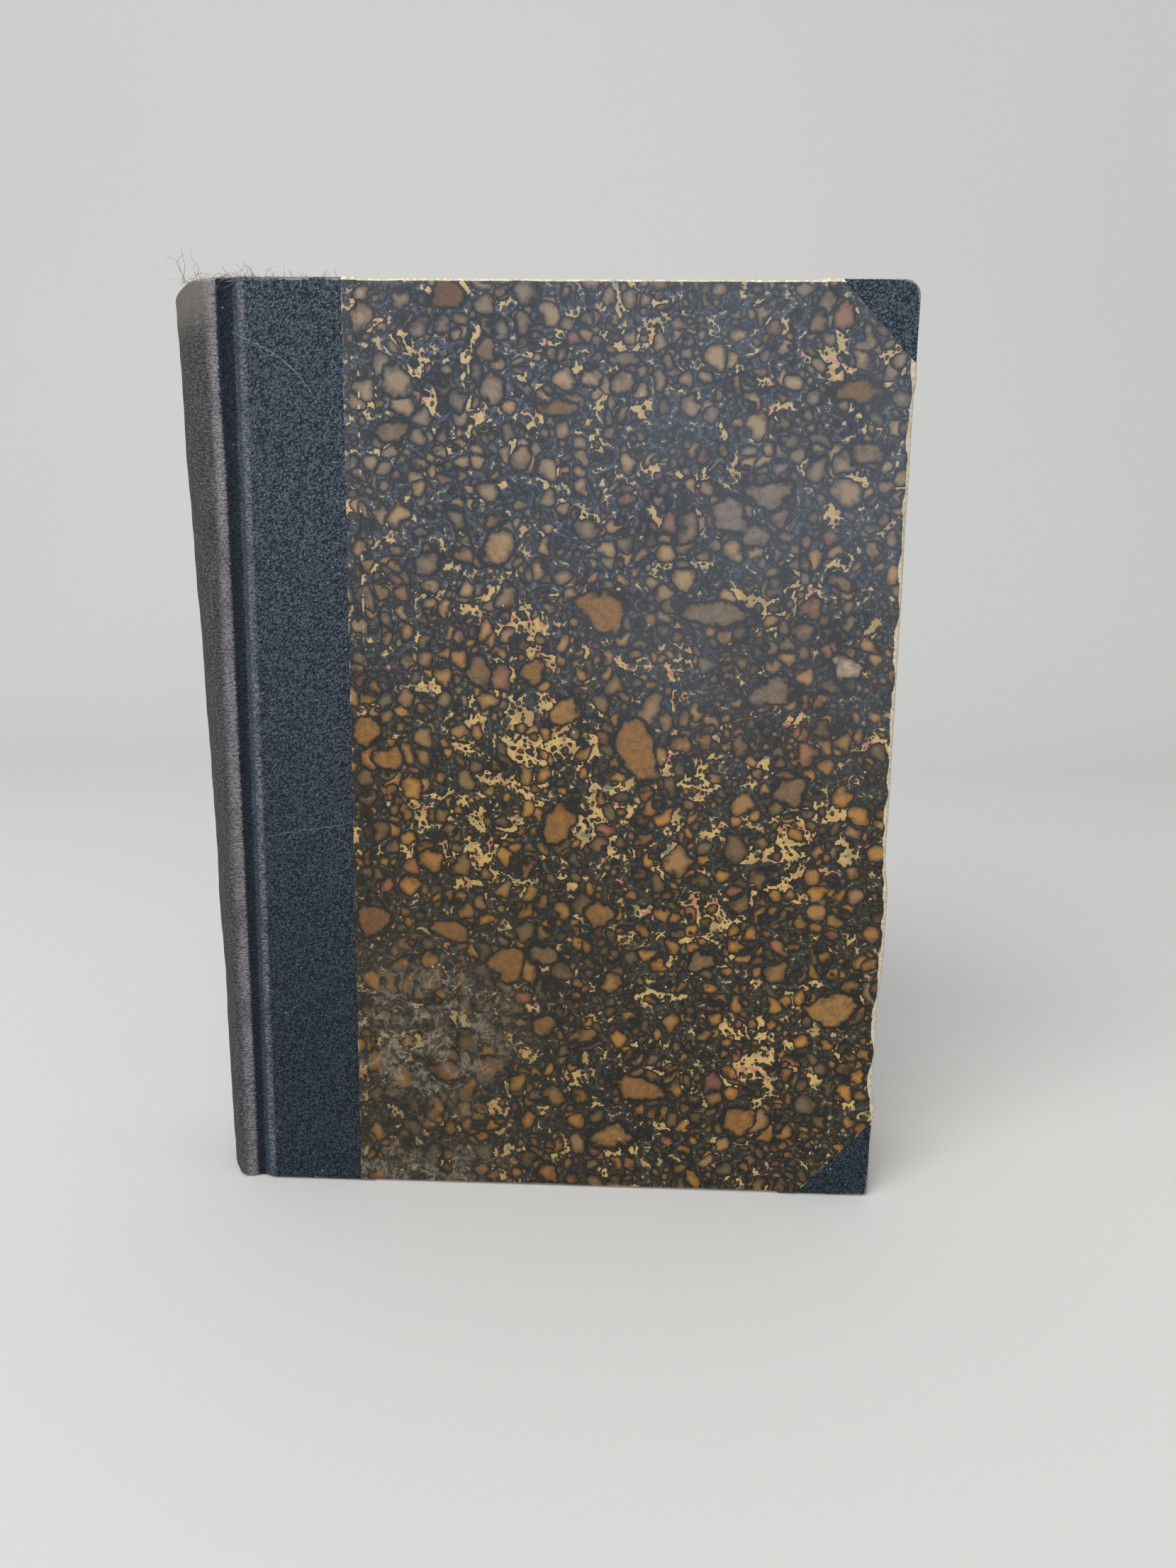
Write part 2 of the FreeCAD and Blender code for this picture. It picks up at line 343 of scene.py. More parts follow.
def paint_large_spots(s, flat, spot, ring):
    """The spots that the mesh places one by one, which are patchy and darker round the rim."""
    patchy = s.noise(flat, 1.5, detail=4.0, rough=0.65)
    bristle = s.noise(flat, 0.42, detail=3.0, rough=0.7)
    tone = s.coats(
        s.attribute("spot_tone", 0),
        (s.step(0.42, 0.62, patchy, 0.0, 0.6), tint(98, 72, 44)),
        (s.step(0.4, 0.24, patchy, 0.0, 0.5), tint(176, 138, 86)),
        (s.step(1.5, 0.2, spot, 0.0, 0.45), tint(88, 64, 42)),
        (s.step(0.5, 0.3, bristle, 0.0, 0.4), tint(92, 64, 36)),
        (s.step(0.56, 0.72, bristle, 0.0, 0.35), tint(186, 148, 98)),
    )
    s.paint(s.step(-1.1, -0.15, spot), ring)
    s.paint(s.step(-0.1, 0.7, spot), tone)


def paint_age(s, flat, warped, wide, lobes, rub):
    """The paper carries a painted reflection of its sheen towards the head and upper right and painted shade
    towards the lower left; it is rubbed towards the tail, dusty and scratched.
    """
    u, v, _ = s.parts(flat)
    # painted reflection: a blue-grey veil of the glossy paper's sheen, towards the head and the upper right
    aside = s.step(44.0, 92.0, u) * s.step(66.0, 120.0, v)
    painted_sheen_cloud = s.step(0.3, 0.7, s.noise(flat, 26.0), 0.5, 1.0)
    s.paint(painted_sheen_cloud * (s.step(80.0, 150.0, v) * 0.12 + aside * 0.14), tint(106, 115, 128))
    # painted shade: darker and browner towards the lower left, where the glossy paper reflects nothing bright
    painted_shade_lower_left = s.step(96.0, 36.0, u) * s.step(100.0, 40.0, v)
    s.paint(painted_shade_lower_left * 0.36, tint(40, 34, 20))
    scuff = s.noise(s.moved(flat, lobes, 2.0), 5.0, detail=7.0, rough=0.7)
    s.paint(rub * s.step(0.4, 0.62, scuff) * 0.45, tint(84, 77, 64))
    wisps = s.math("ABSOLUTE", s.noise(s.moved(flat, wide, 3.0), 3.2, detail=5.0, rough=0.65) - 0.5)
    bright = rub * s.step(0.07, 0.01, wisps) * s.step(0.42, 0.6, scuff)
    s.paint(bright * 0.6, tint(150, 139, 121))
    s.paint(s.step(0.54, 0.76, s.noise(flat, 0.16)) * 0.3, tint(150, 148, 142))
    speck = s.step(0.08, 0.04, s.cells(flat, 3.2)[0]) * s.step(0.5, 0.62, s.noise(flat, 9.0))
    s.paint(speck, tint(196, 190, 172))
    scratch = s.noise(s.scaled(warped, 1.6, 0.12, 1.0), 2.2, detail=5.0, rough=0.7)
    s.paint(s.step(0.69, 0.74, scratch) * 0.3, tint(140, 132, 116))


def paint_bare(s, flat):
    """Worn to the bare paper at the board's edges, the cut edges and over the edge of the cloth."""
    u, v, _ = s.parts(flat)
    fray = s.noise(flat, 1.3, detail=5.0, rough=0.75) - 0.5
    bare = s.step(0.5, 0.56, s.attribute("worn", 2) + fray * 0.5)
    cloth_edge = CLOTH_SIDE + LAP + 0.35
    from_edge = s.math("ABSOLUTE", u - cloth_edge + (s.noise(flat, 2.0) - 0.5) * 0.5)
    dashes = s.step(0.53, 0.6, s.noise(s.scaled(flat, 0.3, 1.0, 1.0), 1.6))
    dashes = dashes * s.between(v, 112.0, 135.0, 172.0, 180.0)
    bare = s.most(bare, s.step(0.24, 0.12, from_edge) * dashes)
    s.paint(bare, s.coats(
        tint(196, 184, 154),
        (s.step(0.3, 0.7, s.noise(flat, 0.7, detail=4.0)), tint(240, 234, 212)),
        (s.attribute("soiled", 2), tint(126, 108, 82)),
    ))
    return bare


def marbled_paper_shader():
    """Soft spots in dark rings on a grey ground, with ochre between them."""
    s = Shader("marbled_paper", specular=0.28)
    flat = s.attribute("flat")
    v = s.parts(flat)[1]
    rub = s.attribute("rub", 2)
    wide = s.noise(flat, 8.0, detail=1.0, output=1)
    lobes = s.noise(flat, 2.3, detail=1.0, output=1)
    fine = s.noise(flat, 0.7, output=1)
    warped = s.moved(s.moved(s.moved(flat, wide, 1.8), lobes, 0.45), fine, 0.12)

    # the pattern is bluer, greyer and paler towards the head, a painted reflection of the glossy paper's
    # sheen, and darker and warmer towards the tail, painted shade
    drift = s.noise(flat, 14.0, detail=3.0, rough=0.6) - 0.5
    low = s.step(172.0, 84.0, v + drift * 90.0)
    ring = s.mix(low, tint(32, 38, 46), tint(18, 18, 16))

    # where the ochre shows between the spots
    gathered = s.noise(s.moved(flat, wide, 3.0), 6.0, detail=3.0, rough=0.6)
    cluster = s.step(0.5, 0.64, gathered + (s.attribute("gold", 2) * 0.12 - 0.03))

    layers = marble_layers(s, flat, warped, cluster)
    spot = s.attribute("spot", 2) + (s.noise(flat, 2.6, detail=3.0) - 0.5) * 3.8
    covered = spot
    for body, *_ in layers:
        covered = s.most(covered, body)
    paint_layers(s, flat, low, ring, layers)
    paint_veins(s, flat, v, covered, cluster)
    paint_large_spots(s, flat, spot, ring)
    mottle = s.noise(flat, 0.3, detail=3.0, rough=0.7)
    grain = s.step(0.25, 0.75, mottle, 0.72, 1.26, smooth=False)
    s.colour = s.mix(1.0, s.colour, s.node("CombineXYZ", {0: grain, 1: grain, 2: grain}), how="MULTIPLY")
    paint_age(s, flat, warped, wide, lobes, rub)
    bare = paint_bare(s, flat)
    gloss = s.step(0.3, 0.7, mottle, 0.38, 0.48) + s.most(rub, bare) * 0.3
    relief = s.bump(s.noise(flat, 0.5, detail=4.0), 0.22, 0.00008)
    relief = s.bump(s.noise(flat, 11.0), 0.12, 0.0008, under=relief)
    return s.finish(gloss, relief)


# Book cloth

def grain_height(s, flat, fuzz):
    """The pebbles of the grain, drawn out aslant."""
    wander = s.moved(flat, s.noise(flat, 1.6, output=1), 0.2)
    leaning = s.node("VectorRotate", {"Vector": wander, "Angle": math.radians(-38)}, rotation_type="Z_AXIS")
    aslant = s.scaled(leaning, 0.8, 1.2, 1.0)
    pebble = s.step(0.1, 0.75, s.cells(aslant, 0.36, feature="SMOOTH_F1")[0], 1.0, 0.0)
    lumps = s.noise(aslant, 0.7, detail=3.0, rough=0.6)
    return pebble * 0.72 + (fuzz * 0.4 + lumps * 0.5)


def navy(s, v, cloudy, height):
    """The unworn cloth, lighter towards the head, with painted shade between its pebbles, painted light on
    their tops and painted glints on the highest.
    """
    upper = s.step(20.0, 175.0, v)
    dark = s.mix(upper, tint(18, 25, 33), tint(30, 39, 49))
    return s.coats(
        s.mix(s.step(0.3, 0.7, cloudy, 0.0, 0.5), dark, tint(24, 34, 46)),
        # painted light on the pebble tops, over painted shade in the hollows
        (s.step(0.5, 1.2, height), s.mix(upper, tint(58, 68, 78), tint(86, 97, 109))),
        # painted highlight: glints on the highest pebbles
        (s.step(1.1, 1.26, height) * 0.8, s.mix(upper, tint(92, 102, 112), tint(128, 138, 148))),
    )


def faded(s, flat, v, fuzz, flecks, weave):
    """The cloth of the spine, worn grey so that the weave shows."""
    streak = s.step(0.35, 0.65, s.noise(s.scaled(flat, 1.6, 0.35, 1.0), 3.0, detail=4.0, rough=0.7))
    low = s.mix(streak, tint(54, 55, 56), tint(78, 78, 77))
    high = s.mix(streak, tint(56, 58, 59), tint(78, 78, 78))
    return s.coats(
        s.mix(s.step(120.0, 186.0, v), low, high),
        (s.step(0.56, 0.42, flecks, 0.0, 0.8), tint(34, 36, 39)),
        (weave * s.step(0.42, 0.66, flecks, 0.1, 0.7), tint(142, 139, 138)),
        (s.step(177.0, 187.0, v + (fuzz - 0.5) * 6.0, 0.0, 0.45), tint(142, 135, 128)),
    )


def paint_joint(s, flat, thread, fuzz, flecks, lies):
    """The ridge is rubbed to its threads, which lie across, and the groove of the joint beside it gets
    painted shade.
    """
    u, v, _ = s.parts(flat)
    broad = s.noise(s.scaled(flat, 0.4, 1.0, 1.0), 7.0, detail=3.0)
    further = s.step(30.0, 150.0, v, 0.0, 0.9, smooth=False) + s.step(150.0, 176.0, v, 0.0, 0.6)
    ragged = u + further + (lies - 0.5) * 2.2
    # painted shade in the groove of the joint
    groove_shade = s.step(-4.6, -3.9, ragged) * s.step(-1.9, -2.7, u + (lies - 0.5) * 0.8)
    s.paint(groove_shade * 0.85, s.mix(s.step(0.4, 0.62, lies), tint(14, 19, 25), tint(34, 43, 52)))
    band = s.between(ragged, -7.4, -4.9, -4.5, -3.95) * s.step(0.3, 0.6, broad, 0.6, 1.0)
    dashes = s.step(-1.0, 0.8, thread * 0.5 + (flecks - 0.5) * 7.0, 0.2, 1.0)
    thread_colour = s.mix(s.step(0.35, 0.65, fuzz), tint(126, 117, 121), tint(196, 184, 187))
    s.paint(band * dashes * 0.85, thread_colour)
    # painted light on the slope of the joint that faces the lamp, mottled in places
    lit_slope = s.between(u, -2.7, -1.7, 0.0, 0.9)
    s.paint(lit_slope * 0.35, tint(62, 78, 92))
    s.paint(lit_slope * s.step(0.5, 0.66, lies) * 0.6, tint(108, 118, 128))
    edge_rub = s.step(0.44, 0.6, flecks) * s.step(0.3, 0.55, broad, 0.3, 1.0)
    s.paint(s.between(u, -1.0, -0.2, 0.5, 1.2) * edge_rub * 0.75, tint(140, 132, 144))
    return band


def paint_scratches(s, flat, fray):
    """Two long fine scratches on the front, one slanted and one nearly level."""
    u, v, slice_of_side = s.parts(flat)
    jitter = (s.noise(flat, 1.1, detail=3.0) - 0.5) * 1.1
    drop = (u - 1.0) * 0.45 + s.math("POWER", s.most(u - 1.0, 0.0), 3.0) * 0.0022
    slanted = s.step(0.2, 0.05, s.math("ABSOLUTE", v - 178.2 + drop + jitter))
    slanted = slanted * s.between(u, -3.0, -2.4, 10.0, 19.8)
    level = s.step(0.18, 0.05, s.math("ABSOLUTE", v - 78.0 - u * 0.17 + jitter))
    level = level * s.between(u, 1.2, 3.0, 15.0, 17.6)
    scratch = s.most(slanted, level * 0.6) * s.step(0.35, 0.55, fray)
    s.paint(s.step(10.0, 0.0, slice_of_side) * scratch * 0.75, tint(138, 152, 162))


def cloth_shader():
    """Grained navy cloth, with its spine, ridge and rims worn."""
    s = Shader("book_cloth", specular=0.16)
    flat = s.attribute("flat")
    u, v, _ = s.parts(flat)
    inside = s.attribute("inside", 2)
    fuzz = s.noise(flat, 0.22, detail=3.0, rough=0.7)
    cloudy = s.noise(flat, 14.0, detail=4.0, rough=0.6)
    flecks = s.noise(s.scaled(flat, 0.7, 1.3, 1.0), 0.6, detail=3.0, rough=0.7)
    lies = s.noise(s.scaled(flat, 0.8, 2.4, 1.0), 0.85, detail=3.0, rough=0.7)
    drawn = s.noise(flat, 1.2, detail=3.0) * 1.2
    thread_u = s.math("SINE", (u + drawn) * (math.tau / 0.46))
    thread_v = s.math("SINE", (v + drawn) * (math.tau / 0.47))
    weave = s.step(-0.9, 1.4, thread_v * 0.45 + thread_u * thread_v)

    height = grain_height(s, flat, fuzz)
    s.colour = navy(s, v, cloudy, height)
    spine = s.step(-6.2, -7.6, u) * s.step(0.25, 0.55, cloudy, 0.86, 1.0) * s.step(0.6, 0.1, inside)
    s.paint(spine, faded(s, flat, v, fuzz, flecks, weave))
    band = paint_joint(s, flat, thread_v, fuzz, flecks, lies)

    # rubbed rims, and light specks of lint
    fray = s.noise(flat, 0.8, detail=5.0, rough=0.75)
    rim = s.step(0.5, 0.64, s.attribute("worn", 2) + (fray - 0.5) * 0.9)
    s.paint(rim * 0.85, s.mix(fuzz, tint(104, 102, 110), tint(190, 180, 182)))
    speck = s.step(0.12, 0.05, s.cells(flat, 2.0)[0]) * s.step(0.48, 0.62, s.noise(flat, 7.0))
    s.paint(speck * 0.85, tint(160, 168, 174))
    paint_scratches(s, flat, fray)
    s.paint(inside * 0.35, tint(30, 36, 46))

    rough = s.step(0.4, 1.2, height, 0.74, 0.56) + spine * 0.2
    relief = s.bump(height, 0.9, 0.00026)
    spine_height = weave * 0.6 + fuzz * 0.5 + (lies * 0.4 + flecks * 0.8)
    spine_relief = s.bump(spine_height, 0.7, 0.0002)
    reliefs = {0: s.most(spine, band), 4: relief, 5: spine_relief}
    return s.finish(rough, s.node("Mix", reliefs, output=1, data_type="VECTOR"))


# Paper, boards and pages

def leaf_shader(name, light, dark, spotting):
    """Plain old paper, cloudy and foxed."""
    s = Shader(name, specular=0.25)
    where = s.place_in_mm()
    fibre = s.noise(s.scaled(where, 1.0, 1.0, 0.4), 0.35, detail=3.0)
    s.colour = s.coats(
        dark,
        (s.step(0.3, 0.7, s.noise(where, 26.0, detail=5.0, rough=0.6)), light),
        (s.step(0.66, 0.74, s.noise(where, 3.2, detail=3.0, rough=0.6)) * spotting, tint(156, 116, 72)),
        (s.step(0.4, 0.7, fibre, 0.0, 0.16), tint(150, 130, 100)),
    )
    relief = s.bump(s.noise(where, 0.5, detail=4.0), 0.25, 0.00006)
    return s.finish(s.step(0.3, 0.7, fibre, 0.78, 0.9), relief)


def board_shader():
    """Grey-brown board in thin layers, with dark flecks."""
    s = Shader("grey_board", specular=0.2)
    where = s.place_in_mm()
    layers = s.noise(s.scaled(where, 0.15, 3.0, 0.15), 1.0, detail=4.0)
    s.colour = s.coats(
        tint(150, 132, 104),
        (s.step(0.3, 0.7, layers), tint(186, 170, 140)),
        (s.step(0.66, 0.72, s.noise(where, 0.6)) * 0.4, tint(96, 84, 70)),
    )
    return s.finish(s.step(0.3, 0.7, layers, 0.8, 0.92), s.bump(layers, 0.4, 0.0001))


def pages_shader():
    """Cut page edges: fine lines of leaves, dust on the head and stains."""
    s = Shader("page_edges", specular=0.2)
    where = s.place_in_mm()
    leaves = s.noise(s.scaled(where, 0.02, 1.0, 0.02), 0.16, rough=0.7)
    bands = s.noise(s.scaled(where, 0.05, 1.0, 0.05), 1.4)
    dusty = s.step(0.25, 0.75, s.noise(where, 12.0, detail=4.0), 0.25, 0.6)
    s.colour = s.coats(
        tint(140, 120, 88),
        (s.step(0.3, 0.7, leaves), tint(214, 198, 164)),
        (s.step(0.5, 0.75, bands, 0.0, 0.35), tint(150, 126, 90)),
        (s.step(182.0, 187.0, s.parts(where)[2]) * dusty, tint(104, 92, 76)),
        (s.step(0.62, 0.72, s.noise(where, 18.0, detail=4.0)) * 0.3, tint(146, 112, 70)),
    )
    return s.finish(s.step(0.3, 0.7, leaves, 0.92, 0.78), s.bump(leaves, 0.5, 0.00012))


def gauze_shader():
    """Open weave, glued and browned in places."""
    s = Shader("gauze", specular=0.2)
    where = s.place_in_mm()
    x, y, z = s.parts(where)
    pace = math.tau / 0.9
    threads = s.most(s.math("SINE", (x + y) * pace), s.math("SINE", z * pace))
    weave = s.step(0.1, 0.7, threads)
    s.colour = s.coats(
        tint(150, 128, 90),
        (weave, tint(206, 190, 154)),
        (s.step(0.5, 0.8, s.noise(where, 9.0, detail=3.0), 0.0, 0.4), tint(146, 112, 66)),
    )
    return s.finish(s.step(0.0, 1.0, weave, 0.6, 0.9), s.bump(weave, 0.6, 0.0001))


def dull_shader(name, specular, size, dark, light):
    """Soft patches between two near colours."""
    s = Shader(name, specular)
    shade = s.noise(s.place_in_mm(), size, detail=3.0)
    s.colour = s.mix(shade, dark, light)
    return s.finish(s.step(0.0, 1.0, shade, 0.85, 0.95))


# Meshes of sheets

def build(name, points, faces, attributes, material):
    """A mesh object from arrays, with smooth faces, sharp cut edges and its attributes."""
    mesh = bpy.data.meshes.new(name)
    mesh.from_pydata([tuple(p) for p in points.tolist()], [], faces)
    mesh.validate()
    for key, values in attributes.items():
        values = np.asarray(values, np.float32)
        if values.ndim == 1:
            mesh.attributes.new(key, "FLOAT", "POINT").data.foreach_set("value", values)
        else:
            mesh.attributes.new(key, "FLOAT_VECTOR", "POINT").data.foreach_set("vector", values.ravel())
    mesh.shade_smooth()
    mesh.set_sharp_from_angle(angle=SHARP)
    mesh.materials.append(material)
    made = bpy.data.objects.new(name, mesh)
    bpy.context.scene.collection.objects.link(made)
    return made


def vertex_normals(points, faces):
    """Outward unit directions at the points, from the areas of the faces round them."""
    normals = np.zeros_like(points)
    for count in sorted({len(f) for f in faces}):
        corners = np.array([f for f in faces if len(f) == count])
        a, b, c = points[corners[:, 0]], points[corners[:, 1]], points[corners[:, 2]]
        face_normals = np.cross(b - a, c - a)
        if count == 4:
            face_normals = face_normals + np.cross(c - a, points[corners[:, 3]] - a)
        for k in range(count):
            np.add.at(normals, corners[:, k], face_normals)
    return normals / np.maximum(np.linalg.norm(normals, axis=1, keepdims=True), 1e-12)


def thick_sheet(name, points, faces, thickness, attributes, material, slot):
    """A sheet made solid: the points are its outside, and its thickness lies behind them."""
    count = len(points)
    inner = points - vertex_normals(points, faces) * thickness * MM
    used = {}
    for face in faces:
        for a, b in zip(face, face[1:] + face[:1]):
            used[(a, b)] = True
    rims = [(b, a, a + count, b + count) for a, b in used if (b, a) not in used]
    back = [tuple(i + count for i in reversed(face)) for face in faces]
    doubled = {key: np.concatenate([values, values]) for key, values in attributes.items()}
    everything = [tuple(f) for f in faces] + back + rims
    return build(name, np.concatenate([points, inner]), everything, doubled, material)


def side_sheet(side, name, points, faces, *rest):
    """A thick sheet of one cover, whose faces are turned over on the back."""
    if side == "back":
        faces = [face[::-1] for face in faces]
    return thick_sheet(f"{side}_{name}", points, faces, *rest)


def flat_sheet(us, vs, cuts, keep):
    """Flat (u, v) points and faces over a grid, split along the cut lines, where keep(u, v) holds."""
    sheet = bmesh.new()
    rows = [[sheet.verts.new((u, v, 0)) for u in us] for v in vs]
    for low, high in zip(rows, rows[1:]):
        for k in range(len(us) - 1):
            sheet.faces.new((low[k], low[k + 1], high[k + 1], high[k]))
    for (u, v), (du, dv) in cuts:
        geometry = sheet.verts[:] + sheet.edges[:] + sheet.faces[:]
        bmesh.ops.bisect_plane(sheet, geom=geometry, dist=1e-4, plane_co=(u, v, 0), plane_no=(-dv, du, 0))
    gone = []
    for face in sheet.faces:
        middle = face.calc_center_median()
        if not keep(middle.x, middle.y):
            gone.append(face)
    bmesh.ops.delete(sheet, geom=gone, context="FACES")
    sheet.verts.index_update()
    flat = np.array([v.co[:2] for v in sheet.verts])
    faces = [tuple(v.index for v in f.verts) for f in sheet.faces]
    sheet.free()
    return flat, faces


def nearest_on_board(u, v):
    """(nearest point inside the rounded edge, direction outward, distance beyond) of flat points."""
    across = BOARD_ACROSS - ARRIS
    radius = np.where(v > HEIGHT / 2, HEAD_CORNER_R, TAIL_CORNER_R) - ARRIS
    centre_u = np.minimum(u, across - radius)
    centre_v = np.clip(v, BOARD_LOW + ARRIS + radius, BOARD_HIGH - ARRIS - radius)
    du, dv = u - centre_u, v - centre_v
    far = np.hypot(du, dv)
    safe = np.maximum(far, 1e-9)
    nu, nv = du / safe, dv / safe
    beyond = np.maximum(far - radius, 0)
    outside = beyond > 0
    pu = np.where(outside, centre_u + nu * radius, u)
    pv = np.where(outside, centre_v + nv * radius, v)
    return pu, pv, nu, nv, beyond


def wrap(flat, height):
    """Where flat points lie once the sheet is folded round the board: across, depth and up."""
    pu, pv, nu, nv, beyond = nearest_on_board(flat[:, 0], flat[:, 1])
    first = np.clip(beyond, 0, ARC) / ARRIS
    straight = np.clip(beyond - ARC, 0, FLAT_EDGE)
    second = np.clip(beyond - ARC - FLAT_EDGE, 0, ARC) / ARRIS
    out = ARRIS * (np.sin(first) - 1 + np.cos(second)) - np.maximum(beyond - ROUND, 0)
    down = ARRIS * (1 - np.cos(first)) + straight + ARRIS * np.sin(second)
    turn = first + second
    out = out + height * np.sin(turn)
    down = down - height * np.cos(turn)
    return pu + nu * out, BOARD_TOP + down, pv + nv * out


def edge_steps():
    """Grid steps over the edge of the board and along the turn-in."""
    over = [ARC * k / 5 for k in range(1, 6)]
    over += [ARC + FLAT_EDGE * k / 2 for k in (1, 2)]
    over += [ARC + FLAT_EDGE + ARC * k / 5 for k in range(1, 6)]
    return over + [ROUND + TURN_IN * k / 6 for k in range(1, 7)]


def grid_lines(start, end, step, steps_before=(), steps_after=()):
    """Grid values from start to end, about a step apart, with more of them before and after."""
    count = max(2, round((end - start) / step) + 1)
    before = [start - k for k in reversed(steps_before)]
    return before + list(np.linspace(start, end, count)) + [end + k for k in steps_after]


def corner_line(at_head, extra=0.0):
    """A point on the diagonal edge of a cloth corner and its direction. extra moves it inward."""
    along, fore = HEAD_LEGS if at_head else TAIL_LEGS
    share = 1 + extra * math.hypot(along, fore) / (along * fore)
    along, fore = along * share, fore * share
    if at_head:
        return (COVER_WIDTH - along, HEIGHT), (along, -fore)
    return (COVER_WIDTH - along, 0.0), (along, fore)


def beyond_line(at_head, u, v, extra=0.0):
    """How far a flat point lies past a corner's diagonal, towards the corner."""
    (pu, pv), (du, dv) = corner_line(at_head, extra)
    length = math.hypot(du, dv)
    sign = 1 if at_head else -1
    return sign * ((u - pu) * -dv + (v - pv) * du) / length


# Spots of colour on the front, larger than the others

SPOT_TONES = {
    "amber": tint(140, 98, 44),
    "ochre": tint(150, 110, 58),
    "rust": tint(126, 84, 46),
    "brown": tint(118, 94, 66),
    "taupe": tint(120, 106, 88),
    "pale": tint(124, 118, 108),
    "cream": tint(172, 160, 134),
    "plum": tint(100, 76, 68),
}


def front_spots():
    """(tone, across, up, wide, high, tilt in degrees) of the front's largest spots."""
    rows = []

    def spot(tone, across, up, wide, high, tilt=0):
        rows.append((tone, across, up, wide, high, tilt))

    spot("amber", across=71.8, up=126.3, wide=10.6, high=7.4, tilt=-15)
    spot("amber", across=79.4, up=98.1, wide=8.4, high=12.6, tilt=20)
    spot("amber", across=63.3, up=82.1, wide=6.8, high=7.6, tilt=-30)
    spot("ochre", across=64.4, up=105.6, wide=6.4, high=6.0)
    spot("amber", across=57.6, up=113.6, wide=5.4, high=4.4)
    spot("amber", across=23.2, up=101.1, wide=6.0, high=5.6)
    spot("amber", across=27.6, up=95.2, wide=5.4, high=5.4, tilt=30)
    spot("brown", across=46.6, up=113.8, wide=4.4, high=6.4)
    spot("amber", across=72.0, up=62.6, wide=6.4, high=5.0)
    spot("amber", across=40.6, up=58.4, wide=7.2, high=5.0, tilt=-10)
    spot("rust", across=23.9, up=60.4, wide=7.8, high=6.2)
    spot("amber", across=52.6, up=51.2, wide=8.4, high=7.4, tilt=35)
    spot("brown", across=60.8, up=53.4, wide=7.6, high=3.8)
    spot("ochre", across=122.4, up=42.6, wide=10.2, high=7.4)
    spot("brown", across=94.0, up=52.8, wide=5.4, high=4.4)
    spot("brown", across=111.2, up=89.8, wide=6.6, high=5.4)
    spot("taupe", across=94.6, up=126.0, wide=11.6, high=5.2)
    spot("taupe", across=106.6, up=110.3, wide=9.4, high=5.0, tilt=25)
    spot("pale", across=96.9, up=145.4, wide=5.6, high=8.6, tilt=30)
    spot("pale", across=104.6, up=149.8, wide=9.4, high=4.6)
    spot("pale", across=102.6, up=141.6, wide=5.8, high=4.2, tilt=-20)
    spot("cream", across=121.4, up=115.6, wide=5.4, high=5.2)
    spot("taupe", across=123.4, up=157.6, wide=6.6, high=4.4)
    spot("brown", across=121.0, up=169.3, wide=8.4, high=5.0)
    spot("taupe", across=29.4, up=161.0, wide=6.2, high=4.6)
    spot("plum", across=40.8, up=186.4, wide=5.6, high=5.4)
    spot("taupe", across=48.1, up=176.4, wide=4.2, high=4.2)
    spot("brown", across=62.7, up=166.0, wide=6.0, high=3.4)
    spot("amber", across=81.0, up=23.8, wide=12.4, high=4.6, tilt=-8)
    spot("amber", across=103.0, up=16.6, wide=7.4, high=6.0)
    spot("ochre", across=75.4, up=12.2, wide=10.2, high=4.4, tilt=15)
    spot("rust", across=48.2, up=27.6, wide=7.4, high=4.6)
    spot("rust", across=39.2, up=26.4, wide=5.6, high=4.4)
    spot("amber", across=60.6, up=37.6, wide=5.6, high=4.2)
    return rows


def back_spots():
    """Spots of the back, which the photograph doesn't show, scattered in the same way."""
    source = random.Random(71)
    tones = ["amber", "ochre", "rust", "brown", "taupe", "pale", "brown", "amber"]
    rows = []
    while len(rows) < 34:
        across, up = source.uniform(24, 128), source.uniform(8, 184)
        if all(math.hypot(across - r[1], up - r[2]) > 13 for r in rows):
            wide = source.uniform(4.5, 9.5)
            tone = source.choice(tones)
            high = wide * source.uniform(0.5, 0.95)
            rows.append((tone, across, up, wide, high, source.uniform(-60, 60)))
    return rows


def spot_field(rows, u, v):
    """(depth inside the nearest spot in mm, its tone) at flat points."""
    depth = np.full(len(u), -9.0)
    tone = np.tile(np.array(SPOT_TONES["brown"][:3]), (len(u), 1))
    source = random.Random(5)
    for name, across, up, wide, high, tilt in rows:
        turn = math.radians(tilt)
        a = (u - across) * math.cos(turn) + (v - up) * math.sin(turn)
        b = -(u - across) * math.sin(turn) + (v - up) * math.cos(turn)
        angle = np.arctan2(b / high, a / wide)
        lobes = 1
        for count in (2, 3):
            lobes = lobes + 0.1 * np.sin(count * angle + source.uniform(0, 6))
        inside = (1 - np.hypot(2 * a / wide, 2 * b / high) / lobes) * min(wide, high) / 2
        nearer = inside > depth
        depth = np.where(nearer, inside, depth)
        tone = np.where(nearer[:, None], np.array(SPOT_TONES[name][:3]), tone)
    return depth, tone


# Paper sides

def nicked(side, u, v, gaps):
    """Flat points of a sheet whose cut edges were scissored by hand and have lost small nicks since."""
    seed = 11 if side == "front" else 12
    at_joint = u < CLOTH_SIDE + 1e-3
    nick = np.maximum(ripple(seed, 9.0, v) - 0.62, 0) * 0.9
    u = np.where(at_joint, u + 0.07 * ripple(seed + 1, 21.0, v) + nick, u)
    for gap in gaps:
        on_cut = np.abs(gap) < 1e-3
        wander = 0.1 * ripple(seed + 2, 6.0, u, v)
        u = np.where(on_cut, u - wander, u)
        v = np.where(on_cut, v - wander * np.sign(v - HEIGHT / 2), v)
    return u, v


